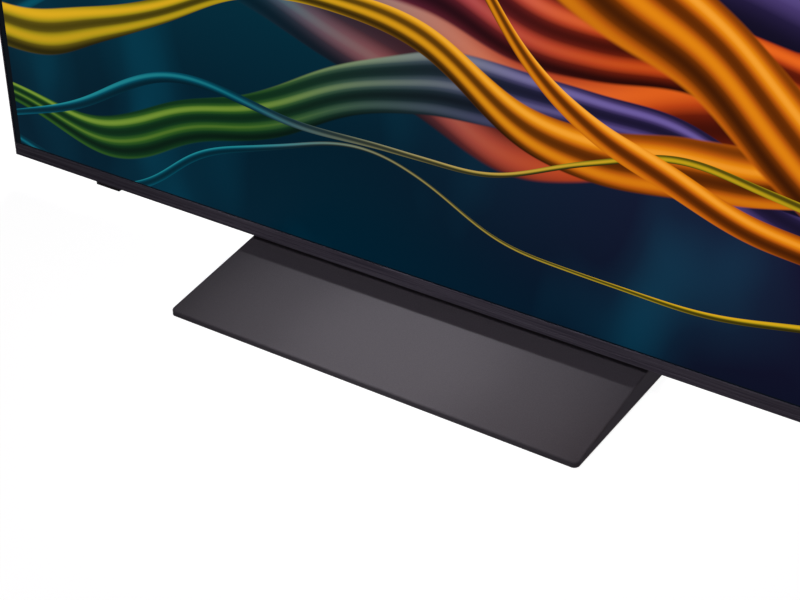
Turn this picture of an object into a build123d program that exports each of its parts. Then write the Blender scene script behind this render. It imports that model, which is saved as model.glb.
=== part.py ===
from build123d import *
import os
from math import tan, radians

# Flat screen television on a wedge-shaped stand. Millimetres, +Z up, the screen looks along -Y.
# The origin lies on the table under the middle of the set.

# Picture and outer frame
picture_width = 1209.6
picture_height = 680.4
black_margin = 8.5
lower_margin = 3.0
frame_face = 2.2
bezel_height = 16.5
skin = 0.8
frame_wall = 1.2
frame_depth = 12.0
slide_gap = 0.3
seat_gap = 0.2
overrun = 5.0

# Stand base
plate_width = 500.0
plate_depth = 240.0
plate_front_top = 8.1
plate_slope = 7.93
plate_rear_top = 12.0
ridge_from_front = 152.0
plate_corner = 6.0
plate_edge_round = 2.0
cover_thickness = 3.0
foot_height = 1.5
foot_count = 3
steel_thickness = 3.0
steel_inset = 0.3
foot_length = 44.0
foot_width = 12.0
foot_inset = 14.0
foot_round = 5.0
base_boss_radius = 5.0
base_boss_edge = 34.0
base_boss_rear_edge = 46.0
base_screw_bite = 4.0
plate_round_share = 0.9

# Where the set stands over the base
bezel_setback = 143.6
under_gap = 5.6

# Fasteners
screw_radius = 1.5
screw_head_radius = 2.8
screw_head_height = 1.6
screw_clearance = 0.2
big_screw_radius = 2.0
big_head_radius = 4.2
big_head_height = 2.6
pilot_clearance = 0.05

# Stand neck and its bracket in the set
neck_width = 182.0
neck_thickness = 3.0
neck_front = 36.0
neck_flange_depth = 14.0
neck_top = 85.0
neck_slot_clearance = 1.0
neck_screw_spacing = 50.0
neck_screw_sink = 1.0
sleeve_width = 202.0
sleeve_front = 30.0
sleeve_rear = 56.0
sleeve_wall = 2.0
sleeve_round = 6.0
sleeve_top = 21.0
bracket_width = 190.0
bracket_sheet = 2.0
bracket_low = 36.0
bracket_top_rise = 5.0
bracket_wing = 20.0
stand_screw_x = 60.0
stand_screw_low = 50.0
stand_screw_high = 76.0

# Glass cell and films
glass_top_depth = 1.0
glass_thickness = 1.2
film_thickness = 0.2
glass_behind_bezel = 9.0
film_inset = 1.0

# Middle frame that carries the glass
ledge_thickness = 1.2
ledge_width = 9.0
guide_wall = 1.5
guide_depth = 11.3

# Sheets and backlight
sheet_thickness = 0.4
plate_thickness = 2.0
sheet_clearance = 0.3
pan_rim = 1.0
pan_rim_width = 8.0
pan_sheet = 1.0
pan_depth = 21.5
pan_slope_run = 14.0
bar_count = 6
bar_height = 20.0
bar_thickness = 1.0
bar_length = 1100.0
reflector_sheet_thickness = 0.3
bar_span_share = 0.78
lens_count = 12
lens_radius = 8.0
lens_height = 5.0
lens_top_radius = 4.0
lens_clearance = 1.0
post_radius = 5.0
post_tip_radius = 1.5
post_columns = 4

# Back cover
cover_wall = 2.2
cover_start = 12.2
thin_depth = 27.0
body_depth = 58.0
cover_round = 5.0
bulge_side_margin = 120.0
bulge_low = 6.0
bulge_high = 430.0
bulge_taper = 11.0
bulge_corner = 28.0
vent_width = 3.0
vent_length = 22.0
vent_pitch = 9.0
vent_count = 48
vent_levels = [335.0, 403.0]
grille_count = 24
grille_pitch = 7.0
grille_width = 2.5
grille_length = 16.0
cover_boss_radius = 4.5
cover_boss_side = 45.0
cover_boss_columns = 5
cover_boss_low = 60.0
cover_boss_rows = 3

# Wall-mount spacers
wall_mount_width = 300.0
wall_mount_height = 200.0
wall_mount_low = 170.0
spacer_radius = 9.0
spacer_thread_radius = 3.0
spacer_thread_length = 16.0
spacer_clearance = 0.6

# Electronics
board_thickness = 1.6
standoff_height = 8.0
standoff_radius = 3.0
standoff_inset = 8.0
main_board_right = 325.0
main_board_width = 164.0
main_board_low = 106.0
main_board_high = 330.0
power_board_left = -325.0
power_board_width = 164.0
power_board_low = 106.0
power_board_high = 350.0
tcon_half_width = 155.0
tcon_low = 98.0
tcon_high = 132.0
wireless_width = 40.0
wireless_height = 24.0
wireless_low = 372.0
ribbon_width = 36.0
ribbon_thickness = 0.4
ribbon_x = 135.0
ribbon_grip = 4.0
source_board_length = 500.0
source_board_depth = 8.0
source_board_inset = 3.0
flex_width = 40.0
flex_thickness = 0.2
flex_count = 5

# Components on the boards
main_chip = 32.0
memory_chip = 13.0
chip_rise = 1.5
main_chip_place_share = (0.42, 0.62)
memory_places_share = [(0.72, 0.74), (0.72, 0.5), (0.3, 0.3), (0.5, 0.25)]
timing_chip_place_share = (0.5, 0.5)
heat_sink_side = 46.0
heat_sink_base = 2.0
heat_sink_rise = 12.0
heat_sink_fins = 9
fin_thickness = 1.4
transformer_side = 34.0
transformer_rise = 20.0
transformer_places_share = [(0.3, 0.52), (0.62, 0.52), (0.3, 0.78)]
capacitor_radius = 9.0
capacitor_length = 42.0
capacitor_places_share = [(0.66, 0.7), (0.66, 0.84)]
power_sink_width = 60.0
power_sink_rise = 18.0
power_sink_places_share = [(0.35, 0.4), (0.7, 0.4), (0.35, 0.66)]
wire_radius = 1.5
wire_bend = 3.0
wire_drop = 28.0

# Sockets
shell_wall = 0.5
tongue_back_share = 0.15
tongue_height_share = 0.7
video_levels = [300.0, 278.0, 256.0, 234.0]
video_height = 15.0
video_rise = 5.6
video_depth = 12.0
video_tongue = 1.0
data_levels = [212.0, 192.0]
data_height = 13.5
data_rise = 6.0
data_depth = 14.0
data_tongue = 1.8
network_level = 172.0
network_height = 15.0
network_rise = 13.0
network_depth = 18.0
network_wall = 1.5
optical_level = 154.0
optical_side = 10.0
optical_depth = 12.0
optical_bore = 3.0
aerial_levels = [139.0, 126.0]
aerial_block = 10.0
aerial_radius = 4.7
aerial_bore = 2.5
aerial_reach = 9.0
inlet_depth = 22.0
inlet_height = 22.0
inlet_rise = 14.0
inlet_wall = 3.0
inlet_bore = 3.8
inlet_pin = 1.2
inlet_pin_spacing = 8.6

# Socket recesses in the back cover
recess_inner = 328.0
recess_depth = 29.0
jack_recess_low = 112.0
jack_recess_high = 336.0
inlet_recess_low = 120.0
inlet_recess_high = 200.0
jack_panel_thickness = 2.0
jack_window_inset = 6.0
jack_window_depth = 20.0

# Speakers
speaker_end_margin = 33.5
speaker_length = 200.0
speaker_low = 21.0
speaker_high = 92.0
speaker_front = 23.0
speaker_rear = 53.0
speaker_wall = 2.0
speaker_pad_radius = 6.0
driver_length = 70.0
driver_width = 25.0
driver_plate = 1.5
driver_opening = 3.0
cone_height = 7.0
cone_taper = 30.0
cone_shell = 0.8
cone_gap = 0.4
magnet_radius = 10.0
magnet_height = 12.0
magnet_rise = 11.0
magnet_groove_share = 0.75
coil_radius = 6.0
coil_wall = 0.5
coil_depth = 7.0
coil_clearance = 0.5
strut_radius = 1.2

# Sensor and button module
module_from_side = 130.5
module_width = 36.0
module_height = 4.8
module_front = 2.0
module_depth = 20.0
module_wall = 0.8
window_inset = 5.0
peg_radius = 1.2
peg_depth_share = 0.25
peg_clearance = 0.1
button_length = 12.0
button_width = 7.0
button_proud = 0.6
button_flange = 0.6
button_clearance = 0.3
button_travel = 0.5
switch_side = 4.5
sensor_board_thickness = 0.8

# Cable holder on the back
holder_width = 64.0
holder_height = 16.0
holder_plate = 3.0
holder_reach = 18.0
holder_arm = 4.0
holder_level = 190.0
gate_thickness = 3.0
fork_share = 0.25
fork_round_share = 0.75
gate_pin_radius = 1.5
gate_bore_clearance = 0.05
gate_side_clearance = 0.3
latch_reach = 2.0

body_width = picture_width + 2 * (black_margin + frame_face)
body_height = bezel_height + lower_margin + picture_height + black_margin + frame_face
slope_rise = tan(radians(plate_slope))
front_y = bezel_setback - plate_depth / 2
bottom_z = plate_front_top + slope_rise * bezel_setback + under_gap
ridge_top = plate_front_top + slope_rise * ridge_from_front
half_width = body_width / 2
glass_half = half_width - frame_wall - slide_gap
glass_low = bezel_height - glass_behind_bezel
glass_high = body_height - frame_wall - slide_gap
glass_back = glass_top_depth + glass_thickness + film_thickness
sheet_front = glass_back + ledge_thickness
diffuser_front = sheet_front + 2 * sheet_thickness
rim_front = diffuser_front + plate_thickness
sheet_half = glass_half - guide_wall - sheet_clearance
sheet_low = glass_low + guide_wall + sheet_clearance
sheet_high = glass_high - guide_wall - sheet_clearance
pan_floor = pan_depth - pan_sheet
bar_front = pan_floor - bar_thickness
reflector_front = bar_front - reflector_sheet_thickness
board_front = pan_depth + standoff_height
board_back = board_front + board_thickness
cover_inside = body_depth - cover_wall
thin_inside = thin_depth - cover_wall
steel_top = foot_height + steel_thickness
neck_back = neck_front + neck_thickness
bulge_half = half_width - bulge_side_margin
bracket_high = neck_top + bracket_top_rise
wall_mount_centre = wall_mount_low + wall_mount_height / 2
speaker_inner = bulge_half - speaker_end_margin - speaker_length
module_left = module_from_side - half_width
holder_low = holder_level - holder_height / 2
holder_high = holder_level + holder_height / 2
gate_low = holder_low + fork_share * holder_height
gate_high = holder_high - fork_share * holder_height


def block(x0, x1, y0, y1, z0, z1):
    """Box between two corners."""
    middle = Pos((x0 + x1) / 2, (y0 + y1) / 2, (z0 + z1) / 2)
    return middle * Box(x1 - x0, y1 - y0, z1 - z0)


def slab(x0, x1, d0, d1, h0, h1):
    """Box given by depths behind the front face and heights above the set's lower edge."""
    return block(x0, x1, front_y + d0, front_y + d1, bottom_z + h0, bottom_z + h1)


def post(x, y, z0, z1, radius, top_radius=None):
    """Upright cylinder, or cone when a top radius is given."""
    middle = Pos(x, y, (z0 + z1) / 2)
    if top_radius is None:
        return middle * Cylinder(radius, z1 - z0)
    return middle * Cone(radius, top_radius, z1 - z0)


def peg(x, h, d0, d1, radius, far_radius=None):
    """Cylinder or cone from depth d0 to depth d1 of the set."""
    middle = Pos(x, front_y + (d0 + d1) / 2, bottom_z + h) * Rot(-90, 0, 0)
    if far_radius is None:
        return middle * Cylinder(radius, d1 - d0)
    return middle * Cone(radius, far_radius, d1 - d0)


def rod_across(x0, x1, d, h, radius):
    """Cylinder that lies from left to right in the set."""
    middle = Pos((x0 + x1) / 2, front_y + d, bottom_z + h) * Rot(0, 90, 0)
    return middle * Cylinder(radius, x1 - x0)


def spread(count, span):
    """Places of a row of equal steps, centred on zero."""
    return [span * (i / (count - 1) - 1 / 2) for i in range(count)]


def save(name, pieces):
    """Write one sub-part, as one solid or as a group of separate solids."""
    shape = pieces[0] if len(pieces) == 1 else Compound(children=list(pieces))
    export_step(shape, os.path.join("parts", name + ".step"))


def screw_back(x, h, seat, tip, radius, head_radius, head_height):
    """Screw driven from behind: its head lies behind depth seat, its tip is at depth tip."""
    head = peg(x, h, seat, seat + head_height, head_radius)
    return head + peg(x, h, tip, seat, radius)


def screw_up(x, y, seat, tip, radius, head_radius, head_height):
    """Screw driven from below: its head lies under height seat."""
    head = post(x, y, seat - head_height, seat, head_radius)
    return head + post(x, y, seat, tip, radius)


# Stand base

def wedge(inset, low):
    """The roof-shaped body of the base, drawn in by inset, down to height low."""
    rear_slope = (ridge_top - plate_rear_top) / (plate_depth - ridge_from_front)
    front = -plate_depth / 2
    outline = Polyline(
        (front + inset, low),
        (front + inset, plate_front_top - inset + slope_rise * inset),
        (front + ridge_from_front, ridge_top - inset),
        (front + plate_depth - inset, plate_rear_top - inset + rear_slope * inset),
        (front + plate_depth - inset, low),
        close=True,
    )
    face = Plane.YZ * make_face(outline)
    return extrude(face, amount=plate_width / 2 - inset, both=True)


def base_boss_places():
    xs = [-plate_width / 2 + base_boss_edge, 0, plate_width / 2 - base_boss_edge]
    ys = [-plate_depth / 2 + base_boss_edge, plate_depth / 2 - base_boss_rear_edge]
    return [(x, y) for x in xs for y in ys if x != 0 or y < 0]


def neck_slot():
    """Opening in the base cover for the neck."""
    half = neck_width / 2 + neck_slot_clearance
    rear = neck_front + neck_flange_depth + neck_slot_clearance
    return block(-half, half, front_y + neck_front - neck_slot_clearance, front_y + rear,
                 foot_height, bottom_z)


def stand_base_cover():
    outer = wedge(0, foot_height)
    outer = fillet(outer.edges().filter_by(Axis.Z), plate_corner)
    top = outer.faces().filter_by(lambda f: f.normal_at().Z > plate_round_share)
    outer = fillet(top.edges(), plate_edge_round)
    hollow = wedge(cover_thickness, foot_height - overrun)
    room = wedge(cover_thickness, steel_top)
    shell = outer - hollow
    for x, y in base_boss_places():
        boss = post(x, y, steel_top, ridge_top, base_boss_radius) & room
        hole = post(x, y, steel_top, steel_top + base_screw_bite, screw_radius + pilot_clearance)
        shell = shell + boss - hole
    return shell - neck_slot()


def stand_base_plate():
    half_x = plate_width / 2 - cover_thickness - steel_inset
    half_y = plate_depth / 2 - cover_thickness - steel_inset
    plate = block(-half_x, half_x, -half_y, half_y, foot_height, steel_top)
    plate = fillet(plate.edges().filter_by(Axis.Z), plate_corner - cover_thickness)
    for x, y in base_boss_places():
        plate = plate - post(x, y, 0, ridge_top, screw_radius + screw_clearance)
        plate = plate - post(x, y, 0, foot_height + screw_head_height, screw_head_radius + screw_clearance)
    for x in neck_screw_places():
        plate = plate - post(x, neck_screw_y(), 0, ridge_top, big_screw_radius + screw_clearance)
        plate = plate - post(x, neck_screw_y(), 0, foot_height + neck_screw_sink,
                             big_head_radius + screw_clearance)
    return plate


def stand_feet():
    feet = []
    y = plate_depth / 2 - foot_inset - foot_width / 2
    for x in spread(foot_count, plate_width - 2 * foot_inset - foot_length):
        for side in (-1, 1):
            pad = Pos(x, side * y, foot_height / 2) * Box(foot_length, foot_width, foot_height)
            feet.append(fillet(pad.edges().filter_by(Axis.Z), foot_round))
    return feet


def base_screws():
    seat = foot_height + screw_head_height
    tip = steel_top + base_screw_bite - seat_gap
    return [screw_up(x, y, seat, tip, screw_radius, screw_head_radius, screw_head_height)
            for x, y in base_boss_places()]


# Neck and its bracket

def neck_screw_places():
    return [neck_screw_spacing * k for k in (-3 / 2, -1 / 2, 1 / 2, 3 / 2)]


def neck_screw_y():
    return front_y + neck_back + neck_flange_depth / 2


def stand_neck():
    """Folded steel upright on a foot flange, with a turned flange down each side."""
    half = neck_width / 2
    rise = steel_top - bottom_z
    rear = neck_front + neck_flange_depth
    neck = slab(-half, half, neck_front, neck_back, rise, neck_top)
    neck = neck + slab(-half, half, neck_front, rear, rise, rise + neck_thickness)
    for side in (-1, 1):
        inner = side * (half - neck_thickness)
        neck = neck + slab(min(inner, side * half), max(inner, side * half), neck_front, rear, rise, neck_top)
    for x, h in stand_screw_places():
        neck = neck - peg(x, h, neck_front - overrun, neck_back + overrun, big_screw_radius + screw_clearance)
    for x in neck_screw_places():
        hole = post(x, neck_screw_y(), 0, steel_top + neck_thickness + overrun,
                    big_screw_radius + pilot_clearance)
        neck = neck - hole
    return neck


def stand_screw_places():
    return [(x, h) for x in (-stand_screw_x, stand_screw_x) for h in (stand_screw_low, stand_screw_high)]


def neck_screws():
    seat = foot_height + neck_screw_sink
    tip = steel_top + neck_thickness
    return [screw_up(x, neck_screw_y(), seat, tip, big_screw_radius, big_head_radius, neck_screw_sink)
            for x in neck_screw_places()]


def rounded_bar(half_x, d0, d1, h0, h1, radius):
    """Upright bar with rounded corners, seen from above."""
    bar = slab(-half_x, half_x, d0, d1, h0, h1)
    return fillet(bar.edges().filter_by(Axis.Z), radius)


def neck_sleeve():
    """Plastic collar round the neck between the base and the set."""
    half = sleeve_width / 2
    low = -bottom_z
    outer = rounded_bar(half, sleeve_front, sleeve_rear, low, sleeve_top, sleeve_round)
    inner = rounded_bar(half - sleeve_wall, sleeve_front + sleeve_wall, sleeve_rear - sleeve_wall,
                        low - overrun, sleeve_top + overrun, sleeve_round - sleeve_wall)
    return outer - inner - wedge(0, -overrun)


def stand_bracket():
    """Hat-shaped steel channel on the chassis that the neck is screwed to."""
    half = bracket_width / 2
    crown = neck_front - bracket_sheet
    bracket = slab(-half, half, crown, neck_front, bracket_low, bracket_high)
    for side in (-1, 1):
        x0, x1 = sorted((side * half, side * (half - bracket_sheet)))
        bracket = bracket + slab(x0, x1, pan_depth, neck_front, bracket_low, bracket_high)
        x0, x1 = sorted((side * (half - bracket_sheet), side * (half + bracket_wing)))
        bracket = bracket + slab(x0, x1, pan_depth, pan_depth + bracket_sheet, bracket_low, bracket_high)
    for x, h in stand_screw_places():
        bracket = bracket - peg(x, h, crown - overrun, neck_front + overrun,
                                big_screw_radius + pilot_clearance)
    for x, h in bracket_screw_places():
        bracket = bracket - peg(x, h, pan_depth - overrun, pan_depth + bracket_sheet + overrun,
                                screw_radius + screw_clearance)
    return bracket


def bracket_screw_places():
    x = bracket_width / 2 + bracket_wing / 2
    margin = bracket_wing / 2
    return [(side * x, h) for side in (-1, 1) for h in (bracket_low + margin, bracket_high - margin)]


def bracket_screws():
    seat = pan_depth + bracket_sheet
    return [screw_back(x, h, seat, pan_floor, screw_radius, screw_head_radius, screw_head_height)
            for x, h in bracket_screw_places()]


def stand_screws():
    crown = neck_front - bracket_sheet
    return [screw_back(x, h, neck_back, crown, big_screw_radius, big_head_radius, big_head_height)
            for x, h in stand_screw_places()]


# Frames round the screen

def bottom_bezel():
    """Strip along the lower edge with a lip that turns back under the set."""
    low_corner = slab(-half_width, half_width, 0, skin, 0, bezel_height)
    lip = slab(-half_width, half_width, 0, frame_depth, 0, frame_wall)
    bezel = low_corner + lip
    for x in module_peg_places():
        bezel = bezel - post(x, module_y(), bottom_z - overrun, bottom_z + overrun,
                             peg_radius + peg_clearance)
    return bezel


def side_frame(side):
    """Slim frame profile up one side: a wall with a narrow front lip."""
    x0, x1 = sorted((side * half_width, side * (half_width - frame_wall)))
    wall = slab(x0, x1, 0, frame_depth, bezel_height, body_height)
    x0, x1 = sorted((side * half_width, side * (half_width - frame_face)))
    lip = slab(x0, x1, 0, skin, bezel_height, body_height - frame_wall)
    x0, x1 = sorted((side * half_width, side * (half_width - frame_wall)))
    foot = slab(x0, x1, skin, frame_depth, frame_wall, bezel_height)
    return wall + lip + foot


def top_frame():
    inner = half_width - frame_wall
    wall = slab(-inner, inner, 0, frame_depth, body_height - frame_wall, body_height)
    inner = half_width - frame_face
    lip = slab(-inner, inner, 0, skin, body_height - frame_face, body_height - frame_wall)
    return wall + lip


# Glass cell

def glass_sheet(d0, d1, inset, low):
    return slab(-glass_half + inset, glass_half - inset, d0, d1, low + inset, glass_high - inset)


def front_film():
    return glass_sheet(skin, glass_top_depth, film_inset, glass_low)


def lcd_glass():
    return glass_sheet(glass_top_depth, glass_top_depth + glass_thickness, 0, glass_low)


def rear_film():
    return glass_sheet(glass_back - film_thickness, glass_back, film_inset, glass_low)


def ring(half_out, low_out, high_out, width, d0, d1):
    """Rectangular ring in the plane of the screen."""
    outer = slab(-half_out, half_out, d0, d1, low_out, high_out)
    half_in = half_out - width
    inner = slab(-half_in, half_in, d0 - overrun, d1 + overrun, low_out + width, high_out - width)
    return outer - inner


def middle_frame():
    """Plastic frame whose ledge the glass lies on and whose wall holds the sheets."""
    ledge = ring(glass_half, glass_low, glass_high, ledge_width, glass_back, sheet_front)
    wall = ring(glass_half, glass_low, glass_high, guide_wall, glass_back, guide_depth)
    return ledge + wall


def optical_sheet(d0, d1):
    return slab(-sheet_half, sheet_half, d0, d1, sheet_low, sheet_high)


def rear_chassis():
    """Pressed steel pan: a rim, four sloping walls and a flat floor."""
    def pan(grow, near, far):
        run = pan_slope_run
        inner_half = sheet_half - pan_rim_width
        wide = (2 * inner_half + 2 * grow, sheet_high - sheet_low - 2 * pan_rim_width + 2 * grow)
        narrow = (wide[0] - 2 * run, wide[1] - 2 * run)
        middle = bottom_z + (sheet_low + sheet_high) / 2
        faces = []
        for depth, size in ((near, wide), (far, narrow)):
            plane = Plane(origin=(0, front_y + depth, middle), x_dir=(1, 0, 0), z_dir=(0, -1, 0))
            faces.append(plane * Rectangle(*size))
        return loft(faces)
    shell = pan(pan_sheet, rim_front, pan_depth) - pan(0, rim_front, pan_floor)
    rim = ring(sheet_half, sheet_low, sheet_high, pan_rim_width, rim_front, rim_front + pan_rim)
    chassis = shell + (rim - pan(0, rim_front, pan_floor))
    for x, h in chassis_holes():
        chassis = chassis - peg(x, h, pan_floor - overrun, pan_depth + overrun,
                                screw_radius + pilot_clearance)
    return chassis


def chassis_holes():
    return cover_boss_places() + bracket_screw_places()


# Backlight

def bar_levels():
    return [(sheet_low + sheet_high) / 2 + h
            for h in spread(bar_count, (sheet_high - sheet_low) * bar_span_share)]


def lens_columns():
    return spread(lens_count, bar_length - bar_height)


def light_bars():
    half = bar_length / 2
    return [slab(-half, half, bar_front, pan_floor, h - bar_height / 2, h + bar_height / 2)
            for h in bar_levels()]


def lenses():
    tip = bar_front - lens_height
    return [peg(x, h, tip, bar_front, lens_top_radius, lens_radius)
            for h in bar_levels() for x in lens_columns()]


def post_places():
    levels = bar_levels()
    between = [(levels[0] + levels[1]) / 2, (levels[2] + levels[3]) / 2, (levels[-1] + levels[-2]) / 2]
    return [(x, h) for h in between for x in spread(post_columns, bar_length * bar_span_share)]


def reflector():
    sheet = slab(-bar_length / 2 - bar_height / 2, bar_length / 2 + bar_height / 2,
                 reflector_front, bar_front, bar_levels()[0] - bar_height, bar_levels()[-1] + bar_height)
    holes = [peg(x, h, reflector_front - overrun, bar_front + overrun, lens_radius + lens_clearance)
             for h in bar_levels() for x in lens_columns()]
    return sheet - holes


def diffuser_posts():
    return [peg(x, h, rim_front + seat_gap, reflector_front, post_tip_radius, post_radius)
            for x, h in post_places()]


# Panel electronics

def source_boards():
    d0 = source_board_inset
    return [slab(x - source_board_length / 2, x + source_board_length / 2, d0, d0 + source_board_depth,
                 frame_wall, frame_wall + board_thickness) for x in source_board_places()]


def source_board_places():
    x = source_board_length / 2 + flex_width / 2
    return [-x, x]


def panel_flexes():
    """Thin films that bend from the glass edge down to the source boards."""
    low = frame_wall + board_thickness
    flexes = []
    for centre in source_board_places():
        for x in spread(flex_count, source_board_length - 2 * flex_width):
            x0 = centre + x - flex_width / 2
            x1 = x0 + flex_width
            drop = slab(x0, x1, glass_top_depth, glass_top_depth + flex_thickness, low, glass_low)
            run = slab(x0, x1, glass_top_depth, source_board_inset + source_board_depth / 2,
                       low, low + flex_thickness)
            flexes.append(drop + run)
    return flexes


def ribbon(x):
    """Flat cable from the timing board down to a source board."""
    low = frame_wall + board_thickness
    near = source_board_inset + source_board_depth * 3 / 4
    line = [
        (near, low + ribbon_thickness / 2),
        (frame_depth + cover_wall, low + ribbon_thickness / 2),
        (pan_depth + ribbon_thickness, low + glass_low),
        (board_front - ribbon_thickness / 2, low + 2 * glass_low),
        (board_front - ribbon_thickness / 2, tcon_low + ribbon_grip),
    ]
    points = [(front_y + d, bottom_z + h) for d, h in line]
    face = Plane.YZ * trace(Polyline(*points), line_width=ribbon_thickness)
    return Pos(x, 0, 0) * extrude(face, amount=ribbon_width / 2, both=True)


def board(x0, x1, h0, h1):
    return slab(x0, x1, board_front, board_back, h0, h1)


def board_corners(x0, x1, h0, h1):
    i = standoff_inset
    return [(x, h) for x in (x0 + i, x1 - i) for h in (h0 + i, h1 - i)]


def board_outlines():
    return {
        "main_board": (main_board_right - main_board_width, main_board_right,
                       main_board_low, main_board_high),
        "power_board": (power_board_left, power_board_left + power_board_width,
                        power_board_low, power_board_high),
        "timing_board": (-tcon_half_width, tcon_half_width, tcon_low, tcon_high),
        "wireless_board": (-wireless_width / 2, wireless_width / 2,
                           wireless_low, wireless_low + wireless_height),
    }


def drilled_board(outline):
    """Circuit board with a hole at each corner."""
    sheet = board(*outline)
    for x, h in board_corners(*outline):
        sheet = sheet - peg(x, h, board_front - overrun, board_back + overrun, screw_radius + screw_clearance)
    return sheet


def standoffs():
    posts = []
    for outline in board_outlines().values():
        for x, h in board_corners(*outline):
            post_body = peg(x, h, pan_depth, board_front, standoff_radius)
            hole = peg(x, h, pan_depth, board_front, screw_radius + pilot_clearance)
            posts.append(post_body - hole)
    return posts


def board_screws():
    tip = board_front - standoff_height / 2
    return [screw_back(x, h, board_back, tip, screw_radius, screw_head_radius, screw_head_height)
            for outline in board_outlines().values() for x, h in board_corners(*outline)]


def on_board(outline, share_x, share_h, width, height, rise):
    """Component that stands on a board, placed by its share of the board's sides."""
    x = outline[0] + share_x * (outline[1] - outline[0])
    h = outline[2] + share_h * (outline[3] - outline[2])
    return slab(x - width / 2, x + width / 2, board_back, board_back + rise, h - height / 2, h + height / 2)


def main_chips():
    outline = board_outlines()["main_board"]
    chips = [on_board(outline, share_x, share_h, memory_chip, memory_chip, chip_rise)
             for share_x, share_h in memory_places_share]
    chips.append(on_board(outline, *main_chip_place_share, main_chip, main_chip, chip_rise))
    timing = board_outlines()["timing_board"]
    chips.append(on_board(timing, *timing_chip_place_share, memory_chip, memory_chip, chip_rise))
    wireless = board_outlines()["wireless_board"]
    chips.append(on_board(wireless, *timing_chip_place_share, memory_chip, memory_chip, chip_rise))
    return chips


def main_heat_sink():
    """Finned aluminium block on the main chip."""
    outline = board_outlines()["main_board"]
    x = outline[0] + main_chip_place_share[0] * (outline[1] - outline[0])
    h = outline[2] + main_chip_place_share[1] * (outline[3] - outline[2])
    near = board_back + chip_rise
    half = heat_sink_side / 2
    sink = slab(x - half, x + half, near, near + heat_sink_base, h - half, h + half)
    for dx in spread(heat_sink_fins, heat_sink_side - fin_thickness):
        sink = sink + slab(x + dx - fin_thickness / 2, x + dx + fin_thickness / 2, near,
                           near + heat_sink_rise, h - half, h + half)
    return sink


def power_transformers():
    outline = board_outlines()["power_board"]
    return [on_board(outline, share_x, share_h, transformer_side, transformer_side, transformer_rise)
            for share_x, share_h in transformer_places_share]


def power_capacitors():
    """Round capacitors that lie on their sides to fit the shallow case."""
    outline = board_outlines()["power_board"]
    cans = []
    for share_x, share_h in capacitor_places_share:
        x = outline[0] + share_x * (outline[1] - outline[0])
        h = outline[2] + share_h * (outline[3] - outline[2])
        d = board_back + capacitor_radius
        cans.append(rod_across(x - capacitor_length / 2, x + capacitor_length / 2, d, h, capacitor_radius))
    return cans


def power_heat_sinks():
    """Bent aluminium plates that stand on the power board."""
    outline = board_outlines()["power_board"]
    return [on_board(outline, share_x, share_h, power_sink_width, fin_thickness, power_sink_rise)
            for share_x, share_h in power_sink_places_share]


def wire_path(points):
    """Round bundle along a route of (x, h) points just behind the boards."""
    d = board_back + wire_radius
    corners = [(x, front_y + d, bottom_z + h) for x, h in points]
    if len(corners) == 2:
        route = Line(*corners)
    else:
        route = FilletPolyline(*corners, radius=wire_bend)
    start = Plane(origin=route @ 0, z_dir=route % 0)
    return sweep(start * Circle(wire_radius), path=route)


def wiring():
    """Wire bundles between the power board, the main board and the speakers."""
    power_edge = power_board_left + power_board_width
    main_edge = main_board_right - main_board_width
    level = main_board_high - wire_drop
    across = wire_path([(power_edge - wire_drop / 2, level), (main_edge + wire_drop / 2, level)])
    low = tcon_low + wire_radius + seat_gap
    x = speaker_inner + wire_drop
    left_end = main_edge + 2 * standoff_inset - wire_radius
    right_end = main_edge + main_board_width / 2
    high = main_board_low + standoff_inset
    left = wire_path([(-x, speaker_high), (-x, low), (left_end, low), (left_end, high)])
    right = wire_path([(x, speaker_high), (x, low), (right_end, low), (right_end, high)])
    return [across, left, right]


# Sockets

def socket_shell(level, height, rise, depth, wall, tongue):
    """Metal socket on the main board that opens to the side, with its tongue."""
    x1 = recess_inner
    x0 = x1 - depth
    shell = slab(x0, x1, board_back, board_back + rise, level - height / 2, level + height / 2)
    cavity = slab(x0 + wall, x1 + overrun, board_back + wall, board_back + rise - wall,
                  level - height / 2 + wall, level + height / 2 - wall)
    middle = board_back + rise / 2
    blade = slab(x0, x1 - depth * tongue_back_share, middle - tongue / 2, middle + tongue / 2,
                 level - height * tongue_height_share / 2, level + height * tongue_height_share / 2)
    return shell - cavity + blade


def video_sockets():
    return [socket_shell(level, video_height, video_rise, video_depth, shell_wall, video_tongue)
            for level in video_levels]


def data_sockets():
    return [socket_shell(level, data_height, data_rise, data_depth, shell_wall, data_tongue)
            for level in data_levels]


def network_socket():
    half = network_height / 2
    x0 = recess_inner - network_depth
    body = slab(x0, recess_inner, board_back, board_back + network_rise, network_level - half,
                network_level + half)
    cavity = slab(x0 + network_wall, recess_inner + overrun, board_back + network_wall,
                  board_back + network_rise - network_wall, network_level - half + network_wall,
                  network_level + half - network_wall)
    return body - cavity


def optical_socket():
    half = optical_side / 2
    x0 = recess_inner - optical_depth
    body = slab(x0, recess_inner, board_back, board_back + optical_side, optical_level - half,
                optical_level + half)
    middle = board_back + optical_side / 2
    cavity = rod_across(x0 + network_wall, recess_inner + overrun, middle, optical_level, optical_bore)
    return body - cavity


def aerial_sockets():
    """Threaded coaxial sockets on their blocks."""
    sockets = []
    for level in aerial_levels:
        half = aerial_block / 2
        x0 = recess_inner - aerial_block
        block_body = slab(x0, recess_inner - cover_wall - jack_panel_thickness - seat_gap, board_back,
                          board_back + aerial_block, level - half, level + half)
        middle = board_back + aerial_block / 2
        tube = rod_across(x0 + half, recess_inner + aerial_reach, middle, level, aerial_radius)
        bore = rod_across(recess_inner - half, recess_inner + aerial_reach + overrun, middle, level,
                          aerial_bore)
        sockets.append(block_body + tube - bore)
    return sockets


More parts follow.
